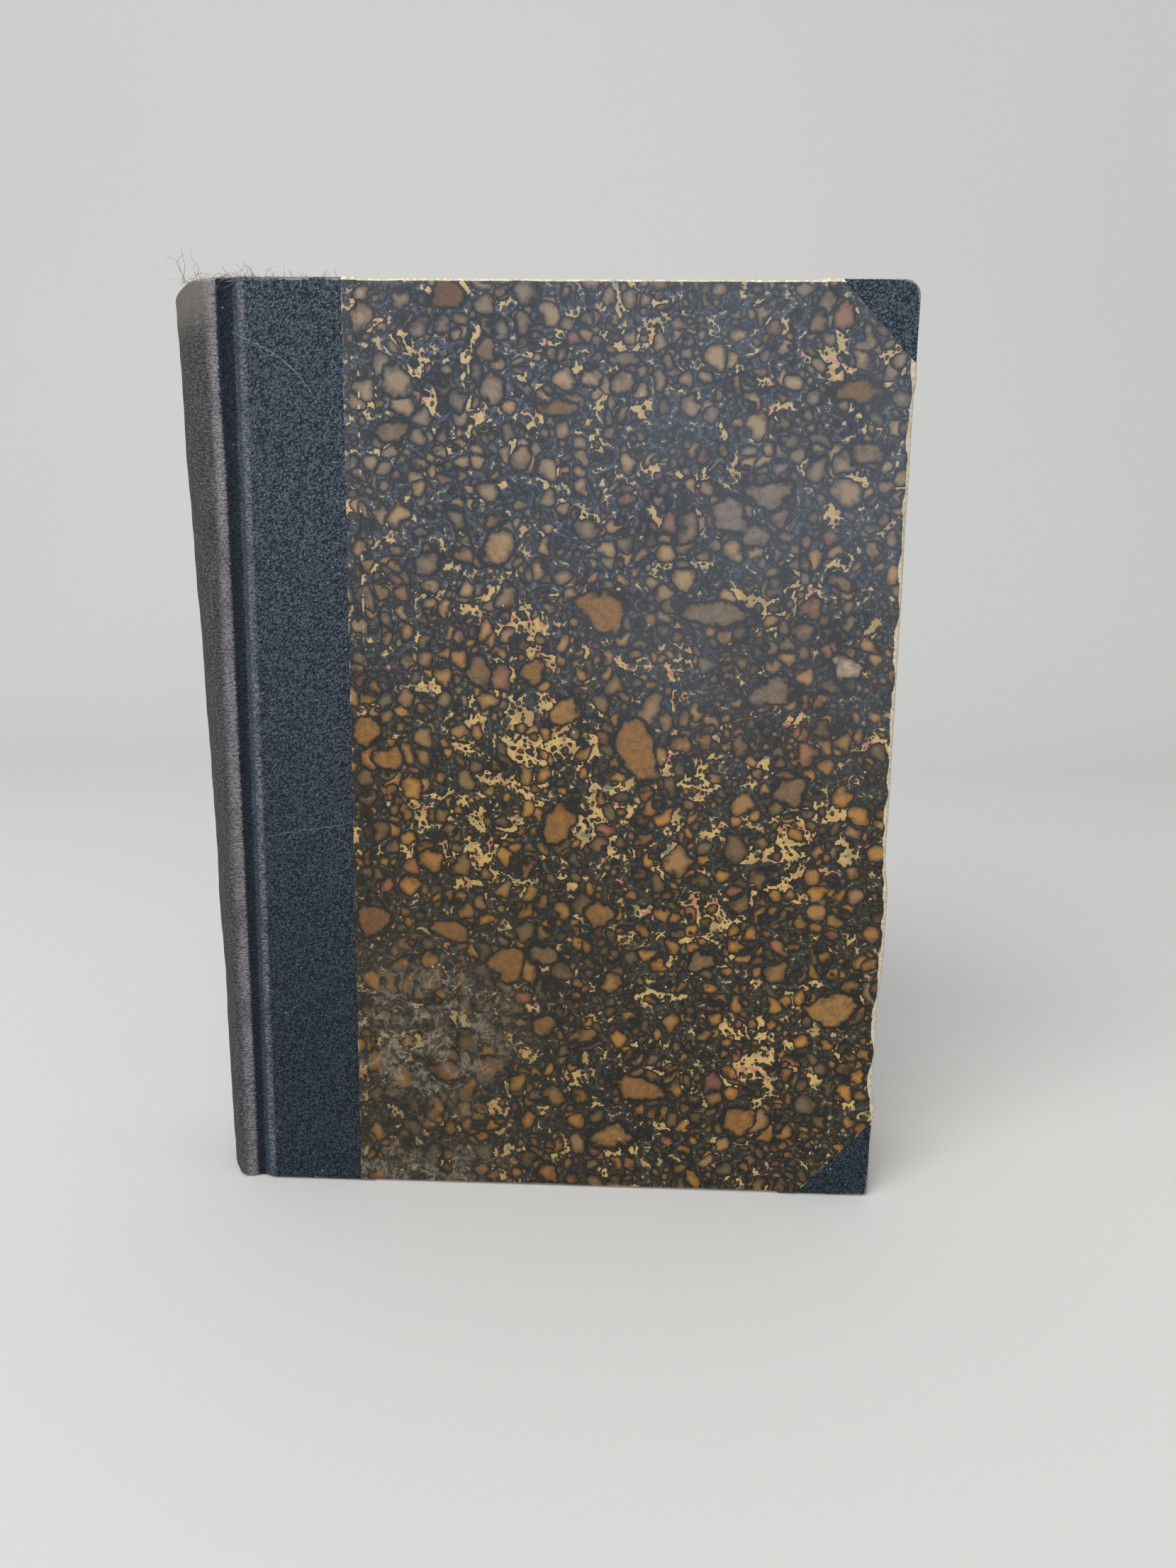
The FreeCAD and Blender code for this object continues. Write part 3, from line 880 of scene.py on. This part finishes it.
def paper_side(side, material):
    """The marbled paper of one cover, which laps over the cloths and folds round three edges of the board."""
    seed = 14 if side == "front" else 15
    edge = edge_steps()
    across_end = BOARD_ACROSS - ARRIS
    low, high = BOARD_LOW + ARRIS, BOARD_HIGH - ARRIS
    past_lap = CLOTH_SIDE + LAP + 0.6
    fine, coarse = 0.32, 1.05
    us = grid_lines(CLOTH_SIDE, past_lap, fine)
    us += grid_lines(past_lap, across_end, coarse, steps_after=edge)[1:]
    vs = grid_lines(low, high, coarse, steps_before=edge, steps_after=edge)
    extras = (0.0, LAP - 0.15, LAP + 0.45)
    cuts = [corner_line(at_head, extra) for at_head in (True, False) for extra in extras]

    def keep(u, v):
        return beyond_line(True, u, v) < 0 and beyond_line(False, u, v) < 0

    flat, faces = flat_sheet(us, vs, cuts, keep)
    flat_u, flat_v = flat[:, 0], flat[:, 1]
    gaps = [beyond_line(at_head, flat_u, flat_v) for at_head in (True, False)]
    u, v = nicked(side, flat_u, flat_v, gaps)

    over_cloth = 1 - ramp(CLOTH_SIDE + LAP - 0.1, CLOTH_SIDE + LAP + 0.5, flat_u)
    for gap in gaps:
        over_cloth = np.maximum(over_cloth, ramp(-LAP - 0.45, -LAP + 0.1, gap))
    pressed = ramp(ROUND - 0.4, ROUND + 0.2, nearest_on_board(u, v)[4])
    height = PAPER_T * (1 - 0.55 * pressed) + CLOTH_T * over_cloth
    height = height + 0.03 * (1 - pressed) * ripple(seed, 30.0, u, v)
    across, depth, up = wrap(np.stack([u, v], axis=1), height)
    up = np.maximum(up, 0.02)
    across = across + fore_edge_swell(side, across, up)
    rims = edge_wear(side, flat_u, flat_v)
    dent = np.maximum(rims["bare"] - 0.4, 0) * 0.1 * ramp(-0.6, 0.2, rims["past"])
    depth = depth + dent * (depth < BOARD_TOP + 1)

    spots = front_spots() if side == "front" else back_spots()
    spot, tone = spot_field(spots, flat_u, flat_v)
    cut = np.minimum(flat_u - CLOTH_SIDE, np.minimum(-gaps[0], -gaps[1]))
    line = 0.5 * ramp(0.5, 0.0, cut) + 0.12 * ripple(seed + 2, 7.0, u + v) * (cut < 0.6)
    attributes = {
        "flat": with_seed(side, flat),
        "spot": spot,
        "spot_tone": tone,
        "rub": rub_field(side, flat_u, flat_v),
        "gold": gold_field(side, flat_u, flat_v),
        "worn": np.maximum(rims["bare"], line),
        "soiled": rims["soiled"],
    }
    points = place(side, across, depth, up)
    made = side_sheet(side, "paper_side", points, faces, 0.12, attributes, material, "marbled_paper")
    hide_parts(side + "_marbled_paper")
    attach(made, side + "_cover")


def with_seed(side, flat):
    """Flat coordinates for the patterns, with another slice of them for the back."""
    third = np.full(len(flat), 0.0 if side == "front" else 140.0)
    return np.column_stack([flat, third])


def fore_edge_swell(side, across, up):
    """Blunted places where the fore-edge of the board has spread."""
    if side == "front":
        swell = 0.75 * between(up, 42, 54, 68, 76) + 0.35 * between(up, 12, 18, 21, 26)
    else:
        swell = 0.5 * between(up, 88, 98, 112, 120)
    swell = swell + 0.12 * ripple(31 if side == "front" else 32, 23.0, up)
    return swell * ramp(BOARD_ACROSS - 5, BOARD_ACROSS + 0.2, across)


def edge_wear(side, u, v):
    """How bare and how soiled the covering is at the edges of the board, and how far past its rim it is."""
    beyond = nearest_on_board(u, v)[4]
    inside = np.minimum(np.minimum(BOARD_ACROSS - ARRIS - u, v - BOARD_LOW - ARRIS), BOARD_HIGH - ARRIS - v)
    past = np.where(beyond > 0, beyond, -inside)
    seed = 41 if side == "front" else 44
    at_head = ramp(BOARD_HIGH - 3, BOARD_HIGH - 1, v)
    at_tail = ramp(BOARD_LOW + 3, BOARD_LOW + 1, v)
    at_fore = 1 - np.maximum(at_head, at_tail)
    wander = (0.3 * ripple(seed, 16.0, u + v) + 0.2 * ripple(seed + 1, 5.0, u + v)) * (1 - 0.75 * at_head)
    start = at_tail * 0.35 + at_fore * 0.02 + at_head * 0.3
    bare = ramp(start - 0.5, start + 0.25, past + wander * 0.6)
    strength = at_head * 1.2 + at_tail * 0.64 + at_fore * (0.8 + 0.25 * wander)
    bare = bare * strength * ramp(ROUND + 0.6, ROUND - 0.8, past)
    soiled = at_tail * 0.75 + at_fore * 0.35 + at_head * ramp(ARC, ROUND, past) * 0.3
    return {"bare": bare, "soiled": soiled, "past": past}


def rub_field(side, u, v):
    """Where the pattern is rubbed: on a broad patch and on a strip along the tail."""
    if side == "back":
        patch = ramp(26, 4, np.hypot((u - 92) / 1.3, v - 118)) * 0.8
        return np.maximum(patch, ramp(10, 2, v) * ramp(132, 90, u) * 0.8)
    patch = ramp(26, 3, np.hypot((u - 35) * 0.9, (v - 35) * 0.95))
    strip = ramp(13, 3, v) * ramp(62, 30, u)
    return np.maximum(patch, strip)


def gold_field(side, u, v):
    """Where more of the ochre shows: broad soft patches."""
    field = np.zeros(len(u))

    def patch(across, up, size):
        far = np.hypot(u - across, v - up)
        np.maximum(field, ramp(size, size * 0.2, far), out=field)

    if side == "front":
        patch(across=60, up=100, size=22)
        patch(across=48, up=86, size=14)
        patch(across=76, up=84, size=16)
        patch(across=56, up=120, size=12)
        patch(across=90, up=92, size=12)
        patch(across=114, up=80, size=15)
        patch(across=106, up=30, size=13)
        patch(across=98, up=62, size=12)
        patch(across=118, up=172, size=13)
        patch(across=76, up=182, size=12)
        patch(across=42, up=172, size=12)
        patch(across=30, up=180, size=8)
        patch(across=48, up=74, size=12)
        patch(across=106, up=126, size=9)
    else:
        source = random.Random(77)
        for _ in range(14):
            patch(source.uniform(30, 124), source.uniform(14, 178), source.uniform(9, 20))
    return field


# Cloth corners

def corner_cloth(side, at_head, material):
    """The cloth over one corner of a cover, with its turn-ins cut to a mitre that nearly meets."""
    edge = edge_steps()
    across_end = BOARD_ACROSS - ARRIS
    legs = HEAD_LEGS if at_head else TAIL_LEGS
    spare = 22  # enough grid for the lap under the paper
    step = 0.8
    seam = ROUND + 1.3  # from the start of the fold to the mitre
    us = grid_lines(across_end - legs[0] - spare, across_end, step, steps_after=edge)
    if at_head:
        top = BOARD_HIGH - ARRIS
        vs = grid_lines(top - legs[1] - spare, top, step, steps_after=edge)
        mitre = ((across_end, top + seam), (-1.0, 1.0))
    else:
        bottom = BOARD_LOW + ARRIS
        vs = grid_lines(bottom, bottom + legs[1] + spare, step, steps_before=edge)
        mitre = ((across_end, bottom - seam), (1.0, 1.0))

    def past_mitre(u, v):
        (pu, pv), _ = mitre
        return (u - pu) + (v - pv if at_head else pv - v)

    def keep(u, v):
        return beyond_line(at_head, u, v, LAP) > 0 and past_mitre(u, v) < 0

    flat, faces = flat_sheet(us, vs, [corner_line(at_head, LAP), corner_line(at_head, 0.0), mitre], keep)
    u, v = flat[:, 0], flat[:, 1]
    seed = (51 if side == "front" else 55) + at_head
    past = edge_wear(side, u, v)["past"]
    mitred = ramp(-3.2, -1.4, past_mitre(u, v)) * ramp(ROUND - 0.6, ROUND + 0.2, past)
    height = CLOTH_T + 0.02 * ripple(seed, 12.0, u, v)
    beyond_end = v > BOARD_HIGH if at_head else v < 0
    height = height + 0.08 * mitred * ramp(3.4, 2.0, past - ROUND) * beyond_end
    across, depth, up = wrap(flat, height)
    up = np.maximum(up, 0.0)
    across = across + fore_edge_swell(side, across, up) * 0.4
    corner_up = HEIGHT if at_head else 0.0
    near = ramp(9, 1, np.hypot(across - COVER_WIDTH, up - corner_up))
    worn = 0.5 * between(past, -0.35, 0.55, ROUND - 0.6, ROUND + 0.5)
    worn = worn + near * 0.22 * ramp(-1.2, 0.3, past)
    attributes = {
        "flat": with_seed(side, flat + (300.0, 0.0)),
        "worn": worn,
        "inside": ramp(ROUND - 0.2, ROUND + 0.6, past),
    }
    points = place(side, across, depth, up)
    name = "head_corner" if at_head else "tail_corner"
    made = side_sheet(side, name, points, faces, 0.3, attributes, material, "book_cloth")
    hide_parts(f"{side}_{name}_cloth")
    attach(made, side + "_cover")


# Case cloth over the spine and the joints

RIDGE_X = -5.8
RIDGE_R = 2.2
RIDGE_DEPTH = 2.5
REACH_HEAD = 17.3
REACH_TAIL = 12.7
JOINT_DEPTH = 1.5


def spine_profile(reach):
    """Outer points of the case from the middle of the spine to the board: (across, depth) of one half."""
    ridge_y = HALF - RIDGE_DEPTH
    out = -RIDGE_X - reach
    radius = (RIDGE_R**2 - out**2 - ridge_y**2) / (2 * (out + RIDGE_R))
    centre_x = radius - reach
    away = math.atan2(-ridge_y, RIDGE_X - centre_x)
    spine = [(centre_x + radius * math.cos(a), HALF + radius * math.sin(a))
             for a in np.linspace(-math.pi, away, 26)]
    start = (-3.05, JOINT_DEPTH)
    to_ridge = (RIDGE_X - start[0], RIDGE_DEPTH - start[1])
    angle = math.atan2(to_ridge[1], to_ridge[0]) + math.asin(RIDGE_R / math.hypot(*to_ridge))
    wall_normal = math.atan2(-math.cos(angle), math.sin(angle)) + math.pi
    leave = math.atan2(math.sin(wall_normal), math.cos(wall_normal))
    if leave < away:
        leave += math.tau
    ridge = [(RIDGE_X + RIDGE_R * math.cos(a), RIDGE_DEPTH + RIDGE_R * math.sin(a))
             for a in np.linspace(away, leave, 14)]
    runs = [ridge[-1], start, (-1.75, JOINT_DEPTH), (-0.45, PAPER_T)]
    joint = []
    for (x0, d0), (x1, d1), count in zip(runs, runs[1:], (7, 5, 8)):
        for k in range(1, count + 1):
            joint.append((x0 + (x1 - x0) * k / count, d0 + (d1 - d0) * k / count))
    face = [(x, PAPER_T) for x in (-0.1, 0.3, 0.8, 1.4, 2.1, 3.0)]
    face += [(x, PAPER_T) for x in np.linspace(4.0, CLOTH_SIDE + LAP - 0.1, 20)]
    points = np.array(spine[:-1] + ridge + joint + face)
    first = len(spine) + len(ridge) - 4
    last = len(points) - len(face) + 3
    for _ in range(5):
        middle = (points[first - 1:last - 1] + points[first + 1:last + 1]) / 2
        points[first:last] = points[first:last] * 0.5 + middle * 0.5
    return points


def inward(points):
    """Unit directions into the book, square to the profile."""
    ahead = np.gradient(points, axis=0)
    normal = np.stack([-ahead[:, 1], ahead[:, 0]], axis=1)
    return normal / np.linalg.norm(normal, axis=1, keepdims=True)


def case_section():
    """The case's section at tail and head, its mean across, and the distance along it from the board."""
    tail, head = spine_profile(REACH_TAIL), spine_profile(REACH_HEAD)
    mean = (tail + head) / 2
    along = np.concatenate([[0], np.cumsum(np.hypot(*np.diff(mean, axis=0).T))])
    return tail, head, mean[:, 0], along - np.interp(0.0, mean[-27:, 0], along[-27:])


def section_at(tail, head, up):
    """Each point of the case's section at its own height."""
    share = np.clip(up / HEIGHT, 0, 1)[:, None]
    return tail * (1 - share) + head * share


def fold_steps():
    """The steps of a fold at head or tail: round the outer edge, across, round the inner one, and in."""
    steps = [("first", k / 5) for k in range(1, 6)]
    steps += [("straight", k / 2) for k in range(1, 3)]
    steps += [("second", k / 5) for k in range(1, 6)]
    return steps + [("in", TURN_IN * k / 5) for k in range(1, 6)]


def fold_offsets(kind, k, bend, fold):
    """(lift past the start of the fold, depth into the book, distance along the cloth, how far inside)."""
    quarter = bend * math.pi / 2
    flat_part = fold - 2 * bend
    angle = k * math.pi / 2
    if kind == "first":
        return bend * math.sin(angle), bend * (1 - math.cos(angle)), bend * angle, 0.0
    if kind == "straight":
        return bend, bend + flat_part * k, quarter + flat_part * k, 0.0
    if kind == "second":
        sink = fold - bend + bend * math.sin(angle)
        return bend * math.cos(angle), sink, quarter + flat_part + bend * angle, k
    return -k, fold, 2 * quarter + flat_part + k, 1.0


def case_lines(count, bend, fold):
    """The rows of the case cloth, from turn-in to turn-in: the share of the half height, then the offsets."""
    still = np.zeros(count)
    folds = {end: [] for end in (-1, 1)}
    for end in folds:
        for kind, k in fold_steps():
            folds[end].append((end, *[offset + still for offset in fold_offsets(kind, k, bend, fold)]))
    level = [(share, still, still, still, still) for share in np.linspace(-1, 1, 191)]
    return folds[-1][::-1] + level + folds[1]


def case_half(side, material):
    """The cloth of one half of the spine, its joint and the strip on the board, turned in at both ends."""
    tail, head, x, u = case_section()
    spine = ramp(-3.4, -5.6, x)
    fold = 0.7 + 2.3 * ramp(-1.9, 0.2, x) + 0.9 * spine  # how thick the folded edge is
    bend = np.minimum(fold / 2, 0.95)
    lines = case_lines(len(x), bend, fold)

    points, flat, inside, past = [], [], [], []
    for share, lift, sink, run, turned in lines:
        end = 1 if share > 0 else -1
        level = HEIGHT / 2 + share * (HEIGHT / 2 - bend)
        up = level + end * lift
        profile = section_at(tail, head, up)
        normals = inward(profile)
        into = normals * spine[:, None] + np.array([[0.0, 1.0]]) * (1 - spine[:, None])
        into = into / np.linalg.norm(into, axis=1, keepdims=True)
        out = surface_waves(side, x, u, up) * ramp(2.6, 1.2, sink)
        where = profile + into * sink[:, None] - normals * out[:, None]
        points.append(place(side, where[:, 0], where[:, 1], sagged(x, up)))
        flat.append(np.stack([u, level + end * run], axis=1))
        inside.append(turned)
        past.append(run if abs(share) == 1 else np.full(len(x), (abs(share) - 1) * HEIGHT / 2))
    flat = np.concatenate(flat)
    rim = between(np.concatenate(past), -0.9, 0.5, 2.5, 4.5)
    worn = rim * np.where(flat[:, 1] > HEIGHT / 2, 0.6, 0.46)
    worn = worn + rim * 0.16 * ripple(68 if side == "front" else 72, 11.0, flat[:, 0])
    attributes = {"flat": with_seed(side, flat), "worn": worn, "inside": np.concatenate(inside)}
    faces = grid_faces(len(lines), len(x))
    points = np.concatenate(points)
    made = side_sheet(side, "case_cloth", points, faces, 0.28, attributes, material, "spine_cloth")
    hidden = [side + "_joint_cloth"] + (["spine_cloth"] if side == "front" else [])
    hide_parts(*hidden)

    # the crease lies between two columns of points, which are worked out and handed on while the mesh is
    # baked where it stands
    after = np.searchsorted(x, CREASE_X)
    crease = [x[after + k] * 0.8 + x[after - 1 - k] * 0.2 for k in (-1, 0)]
    blend_between(made, side, (crease[0], 0.0), (crease[1], 0.0))


def blend_between(made, side, *places):
    """Bakes a sheet's place into its mesh; the two places, given by across and depth, are put in the frame
    and not used further.
    """
    start, end = [tuple(place(side, across, depth, HEIGHT / 2).tolist()) for across, depth in places]
    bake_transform(made)


def grid_faces(rows, count):
    """The faces of a grid of points, given row by row."""
    faces = []
    for j in range(rows - 1):
        for k in range(count - 1):
            a = j * count + k
            faces.append((a, a + 1, a + 1 + count, a + count))
    return faces


def surface_waves(side, x, u, up):
    """How far the cloth stands out from its true section: a lumpy ridge, a wavy joint and a tired spine."""
    seed = 61 if side == "front" else 65
    on_ridge = between(x, -9.5, -6.5, -5.0, -3.6)
    on_spine = ramp(-6.5, -9.5, x)
    on_joint = between(x, -4.2, -3.2, -1.8, -0.8)
    on_board = between(x, 0, 3, 14, 20)
    lumps = 0.13 * ripple(seed, 13.0, up) + 0.05 * ripple(seed + 1, 4.5, up)
    tired = 0.22 * ripple(seed + 2, 34.0, u, up) + 0.06 * ripple(seed + 3, 9.0, u, up)
    spread = ramp(92, 172, up)
    return (on_ridge * lumps
            + on_spine * (spread + tired * ramp(-27.5, -24, u))
            + on_joint * 0.12 * ripple(seed + 4, 17.0, up)
            + on_board * 0.03 * ripple(seed + 5, 26.0, u, up))


def sagged(x, up):
    """Heights once the ends of the spine have sunk a little."""
    sag = 1.5 * ramp(-8.0, -15.5, x) + 0.35 * ramp(-4.0, -7.0, x)
    return up - sag * ramp(HEIGHT - 14, HEIGHT - 1, up) + sag * 0.4 * ramp(12, 1, up)


def spine_card(material):
    """The card inside the cloth of the spine, which has taken the spine's tired shape."""
    tail, head, x, u = case_section()
    card_edge = -6.7
    half = int((x < card_edge).sum())
    short = 0.6  # of the ends of the spine
    rows = np.linspace(short, HEIGHT - short, 64)
    behind_cloth = CLOTH_T + 0.12
    points = []
    for level in rows:
        up = np.full(len(x), level)
        profile = section_at(tail, head, up)
        normals = inward(profile)
        row = []
        for side in ("back", "front"):
            out = surface_waves(side, x, u, up) - behind_cloth
            where = profile - normals * out[:, None]
            placed = place(side, where[:, 0], where[:, 1], sagged(x, up))[:half]
            row.append(placed[:0:-1] if side == "back" else placed)
        points.append(np.concatenate(row))
    faces = grid_faces(len(rows), 2 * half - 1)
    made = thick_sheet("spine_card_bent", np.concatenate(points), faces, 0.65, {}, material, "spine_card")
    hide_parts("spine_card")
    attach(made, "page_block")


# Endpapers in the joint

def gutter(side, material):
    """The folded strip of endpaper in the joint, from the pastedown round to the flyleaf."""
    pasted = [(0.6, 3.24), (0.0, 3.2), (-0.8, 2.92), (-1.6, 2.52), (-2.5, 2.14)]
    free = [(-2.2, 2.62), (-1.6, 2.96), (-0.9, 3.36), (-0.4, 3.56), (0.3, 3.58)]
    across, depth = np.array(pasted + free).T
    count = len(across)
    short = 3.2  # of the head and the tail
    ups = np.linspace(short, HEIGHT - short, 47)
    points = np.concatenate([place(side, across, depth, up) for up in ups])
    flat = np.concatenate([np.column_stack([np.arange(count) * 0.3, np.full(count, up)]) for up in ups])
    faces = [face[::-1] for face in grid_faces(len(ups), count)]
    attributes = {"flat": with_seed(side, flat)}
    made = side_sheet(side, "endpaper_fold", points, faces, 0.1, attributes, material, "endpaper")
    blend_between(made, side, free[0], pasted[-1])


# Pages

PAGES_HALF = 14.25  # of their thickness
SHOULDER_HALF = 15.8  # of their thickness at the back, where the sections swell over the joints
PAGES_LOW = 3.0
PAGES_HIGH = 187.0
PAGES_FORE = 128.5
BEHIND_SPINE = 2.75  # from the outside of the spine cloth to the back of the pages
SHOULDER_RISE = 3.6
SECTIONS = 19
BUNDLES = 6  # of leaves, in each section


def back_at(share, up):
    """Where the rounded back of the pages lies, at a share of their half thickness."""
    furthest = REACH_TAIL + (REACH_HEAD - REACH_TAIL) * up / HEIGHT - BEHIND_SPINE
    rise = furthest - SHOULDER_RISE
    radius = (rise**2 + SHOULDER_HALF**2) / (2 * rise)
    return radius - furthest - math.sqrt(max(radius**2 - (share * SHOULDER_HALF) ** 2, 0))


def fore_at(share):
    """Where the hollow fore-edge of the pages lies."""
    rise = (REACH_TAIL + REACH_HEAD) / 2 - BEHIND_SPINE - SHOULDER_RISE
    radius = (rise**2 + PAGES_HALF**2) / (2 * rise)
    return PAGES_FORE - rise + (radius - math.sqrt(radius**2 - (share * PAGES_HALF) ** 2))


def leaf_ring(share, front, low, high, xs, zs):
    """The outline of one leaf, from the back along the tail, up the fore-edge and back along the head."""
    back_low, back_high = back_at(share, low), back_at(share, high)
    ring = [(back_low + (front - back_low) * t, low) for t in xs]
    ring += [(front, low + (high - low) * t) for t in zs[1:-1]]
    ring += [(back_high + (front - back_high) * t, high) for t in xs[::-1]]
    ring += [(back_high + (back_low - back_high) * (1 - t), low + (high - low) * t) for t in zs[-2:0:-1]]
    across, up = np.array(ring).T
    y = share * (PAGES_HALF + (SHOULDER_HALF - PAGES_HALF) * ramp(-0.6, -3.6, across))
    return np.column_stack([(across - MIDDLE) * MM, y * MM, up * MM])


def page_block(material):
    """The page block leaf by leaf: bundles of leaves that end a little unevenly at each edge."""
    source = random.Random(23)
    count = SECTIONS * BUNDLES
    xs = np.concatenate([np.linspace(0, 0.12, 5), np.linspace(0.16, 1, 16)])
    zs = np.linspace(0, 1, 24)
    rings = []
    for k in range(count):
        leaf = k % BUNDLES
        uneven = source.uniform(-0.1, 0.1) + (0.1 if leaf in (0, BUNDLES - 1) else 0)
        trim_fore = -abs(source.gauss(0, 0.1)) - uneven * 0.6
        trim_head = -abs(source.gauss(0, 0.07)) - uneven * 0.35
        trim_tail = abs(source.gauss(0, 0.05))
        for edge in (0.02, 0.98):
            share = -1 + 2 * (k + edge) / count
            front = fore_at(share) + trim_fore
            rings.append(leaf_ring(share, front, PAGES_LOW + trim_tail, PAGES_HIGH + trim_head, xs, zs))
    points = np.concatenate(rings)
    size = len(rings[0])
    faces = []
    for j in range(len(rings) - 1):
        for k in range(size):
            a, b = j * size + k, j * size + (k + 1) % size
            faces.append((a, b, b + size, a + size))
    along, up_steps = len(xs), len(zs) - 2
    fore_end = 2 * along + up_steps - 1
    caps = [tuple(range(fore_end - 1, size)) + (0, 1), tuple(range(along - 2, along + up_steps + 2))]
    caps += [(k, k + 1, fore_end - k - 1, fore_end - k) for k in range(1, along - 2)]
    last = len(points) - size
    for cap in caps:
        faces.append(cap[::-1])
        faces.append(tuple(last + k for k in cap))
    made = build("pages", points, faces, {}, material)
    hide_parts("text_block")
    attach(made, "page_block")


# Lint at the head of the spine

def lint(material):
    """A tuft of frayed thread that stands on the head of the spine, and loose ends along the head."""
    source = random.Random(91)
    points, faces = [], []

    def fibre(start, heading, length, radius, curl):
        sides, steps = 5, 9
        position = np.array(start, float)
        direction = np.array(heading, float)
        direction /= np.linalg.norm(direction)
        base = len(points)
        for k in range(steps + 1):
            across = np.cross(direction, (0.3, 0.2, 1.0))
            across /= max(np.linalg.norm(across), 1e-6)
            other = np.cross(direction, across)
            thin = radius * (1 - 0.6 * k / steps)
            for j in range(sides):
                a = math.tau * j / sides
                points.append(position + (across * math.cos(a) + other * math.sin(a)) * thin)
            position = position + direction * length / steps
            direction = direction + np.array([source.gauss(0, curl) for _ in range(3)])
            direction /= np.linalg.norm(direction)
        for k in range(steps):
            for j in range(sides):
                a, b = base + k * sides + j, base + k * sides + (j + 1) % sides
                faces.append((a, b, b + sides, a + sides))
        faces.append(tuple(base + j for j in reversed(range(sides))))
        faces.append(tuple(base + steps * sides + j for j in range(sides)))

    for _ in range(90):
        spread = source.random()
        across = -12.5 + 19.0 * spread
        depth = source.uniform(0.6, 9.0) if spread < 0.55 else source.uniform(0.3, 3.2)
        lift = source.uniform(0.15, 1.0)
        heading = (source.gauss(0.1, 1.0), source.gauss(0, 0.7), lift * (1.2 - spread * 0.8))
        length, radius = source.uniform(2.0, 7.5), source.uniform(0.035, 0.075)
        fibre((across, depth, HEIGHT - 0.9), heading, length, radius, curl=0.42)
    for _ in range(46):
        start = (source.uniform(-5.0, 20.0), source.uniform(0.2, 1.0), HEIGHT - 0.35)
        heading = (source.gauss(0, 1), source.gauss(-0.2, 0.4), 0.5)
        length, radius = source.uniform(0.8, 2.4), source.uniform(0.03, 0.05)
        fibre(start, heading, length, radius, curl=0.4)
    made = build("lint", place("front", *np.array(points).T), faces, {}, material)
    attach(made, "page_block")


# Dressing the frame

def dress_frame(endpaper, fly, board, gauze, lining):
    """Gives the solids that keep their shape a material."""
    finishes = {
        "pastedown": endpaper,
        "flyleaf": fly,
        "board": board,
        "mull_flange": gauze,
        "spine_mull": gauze,
        "spine_lining": lining,
    }
    for name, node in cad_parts.items():
        for ending, material in finishes.items():
            if name.endswith(ending):
                node.data.materials.clear()
                node.data.materials.append(material)


def stage():
    """A pale floor that runs up into a pale backdrop."""
    bend_from, bend_r, gap = 0.6, 0.5, 0.0002
    profile = [(-1.6, 0.0), (bend_from, 0.0)]
    for angle in np.linspace(0.1, math.pi / 2, 14):
        profile.append((bend_from + bend_r * math.sin(angle), bend_r * (1 - math.cos(angle))))
    profile.append((bend_from + bend_r, 2.4))
    points = [(x, y, z - gap) for x in (-2.6, 2.6) for y, z in profile]
    faces = [face[::-1] for face in grid_faces(2, len(profile))]
    material = dull_shader("studio_floor", 0.1, 400.0, tint(230, 230, 228), tint(236, 236, 234))
    build("floor", np.array(points), faces, {}, material)


def area_light(name, location, target, size, power):
    data = bpy.data.lights.new(name, "AREA")
    data.shape = "RECTANGLE"
    data.size, data.size_y = size
    data.energy = power
    lamp = bpy.data.objects.new(name, data)
    lamp.location = location
    lamp.rotation_mode = "QUATERNION"
    lamp.rotation_quaternion = (Vector(target) - Vector(location)).to_track_quat("-Z", "Y")
    bpy.context.scene.collection.objects.link(lamp)


def lights():
    """A large light at the upper left, a small one at the right, both in front, and a pale surrounding."""
    world = bpy.data.worlds.new("studio")
    bpy.context.scene.world = world
    world.use_nodes = True
    background = world.node_tree.nodes["Background"]
    background.inputs["Color"].default_value = (1.0, 1.0, 1.0, 1.0)
    background.inputs["Strength"].default_value = 0.5
    area_light("key", (-0.55, -0.95, 1.05), target=(0.0, 0.0, 0.1), size=(0.9, 0.9), power=12.0)
    area_light("window", (0.24, -0.95, 0.3), target=(0.02, 0.0, 0.12), size=(0.36, 0.42), power=1.2)


paper = marbled_paper_shader()
cloth = cloth_shader()
endpaper = leaf_shader("endpaper", tint(206, 190, 156), tint(186, 168, 132), 0.5)
fly = leaf_shader("flyleaf", tint(212, 197, 164), tint(192, 174, 138), 0.4)
lining = leaf_shader("lining_paper", tint(150, 124, 88), tint(124, 100, 68), 0.3)
card = leaf_shader("spine_card", tint(158, 140, 110), tint(134, 116, 88), 0.3)
for side in SIDES:
    paper_side(side, paper)
    for at_head in (True, False):
        corner_cloth(side, at_head, cloth)
    case_half(side, cloth)
    gutter(side, endpaper)
spine_card(card)
page_block(pages_shader())
lint(dull_shader("lint", 0.2, 2.0, tint(96, 94, 98), tint(176, 172, 174)))
dress_frame(endpaper, fly, board_shader(), gauze_shader(), lining)
stage()
lights()
make_camera()
bpy.context.scene.view_settings.view_transform = "Standard"
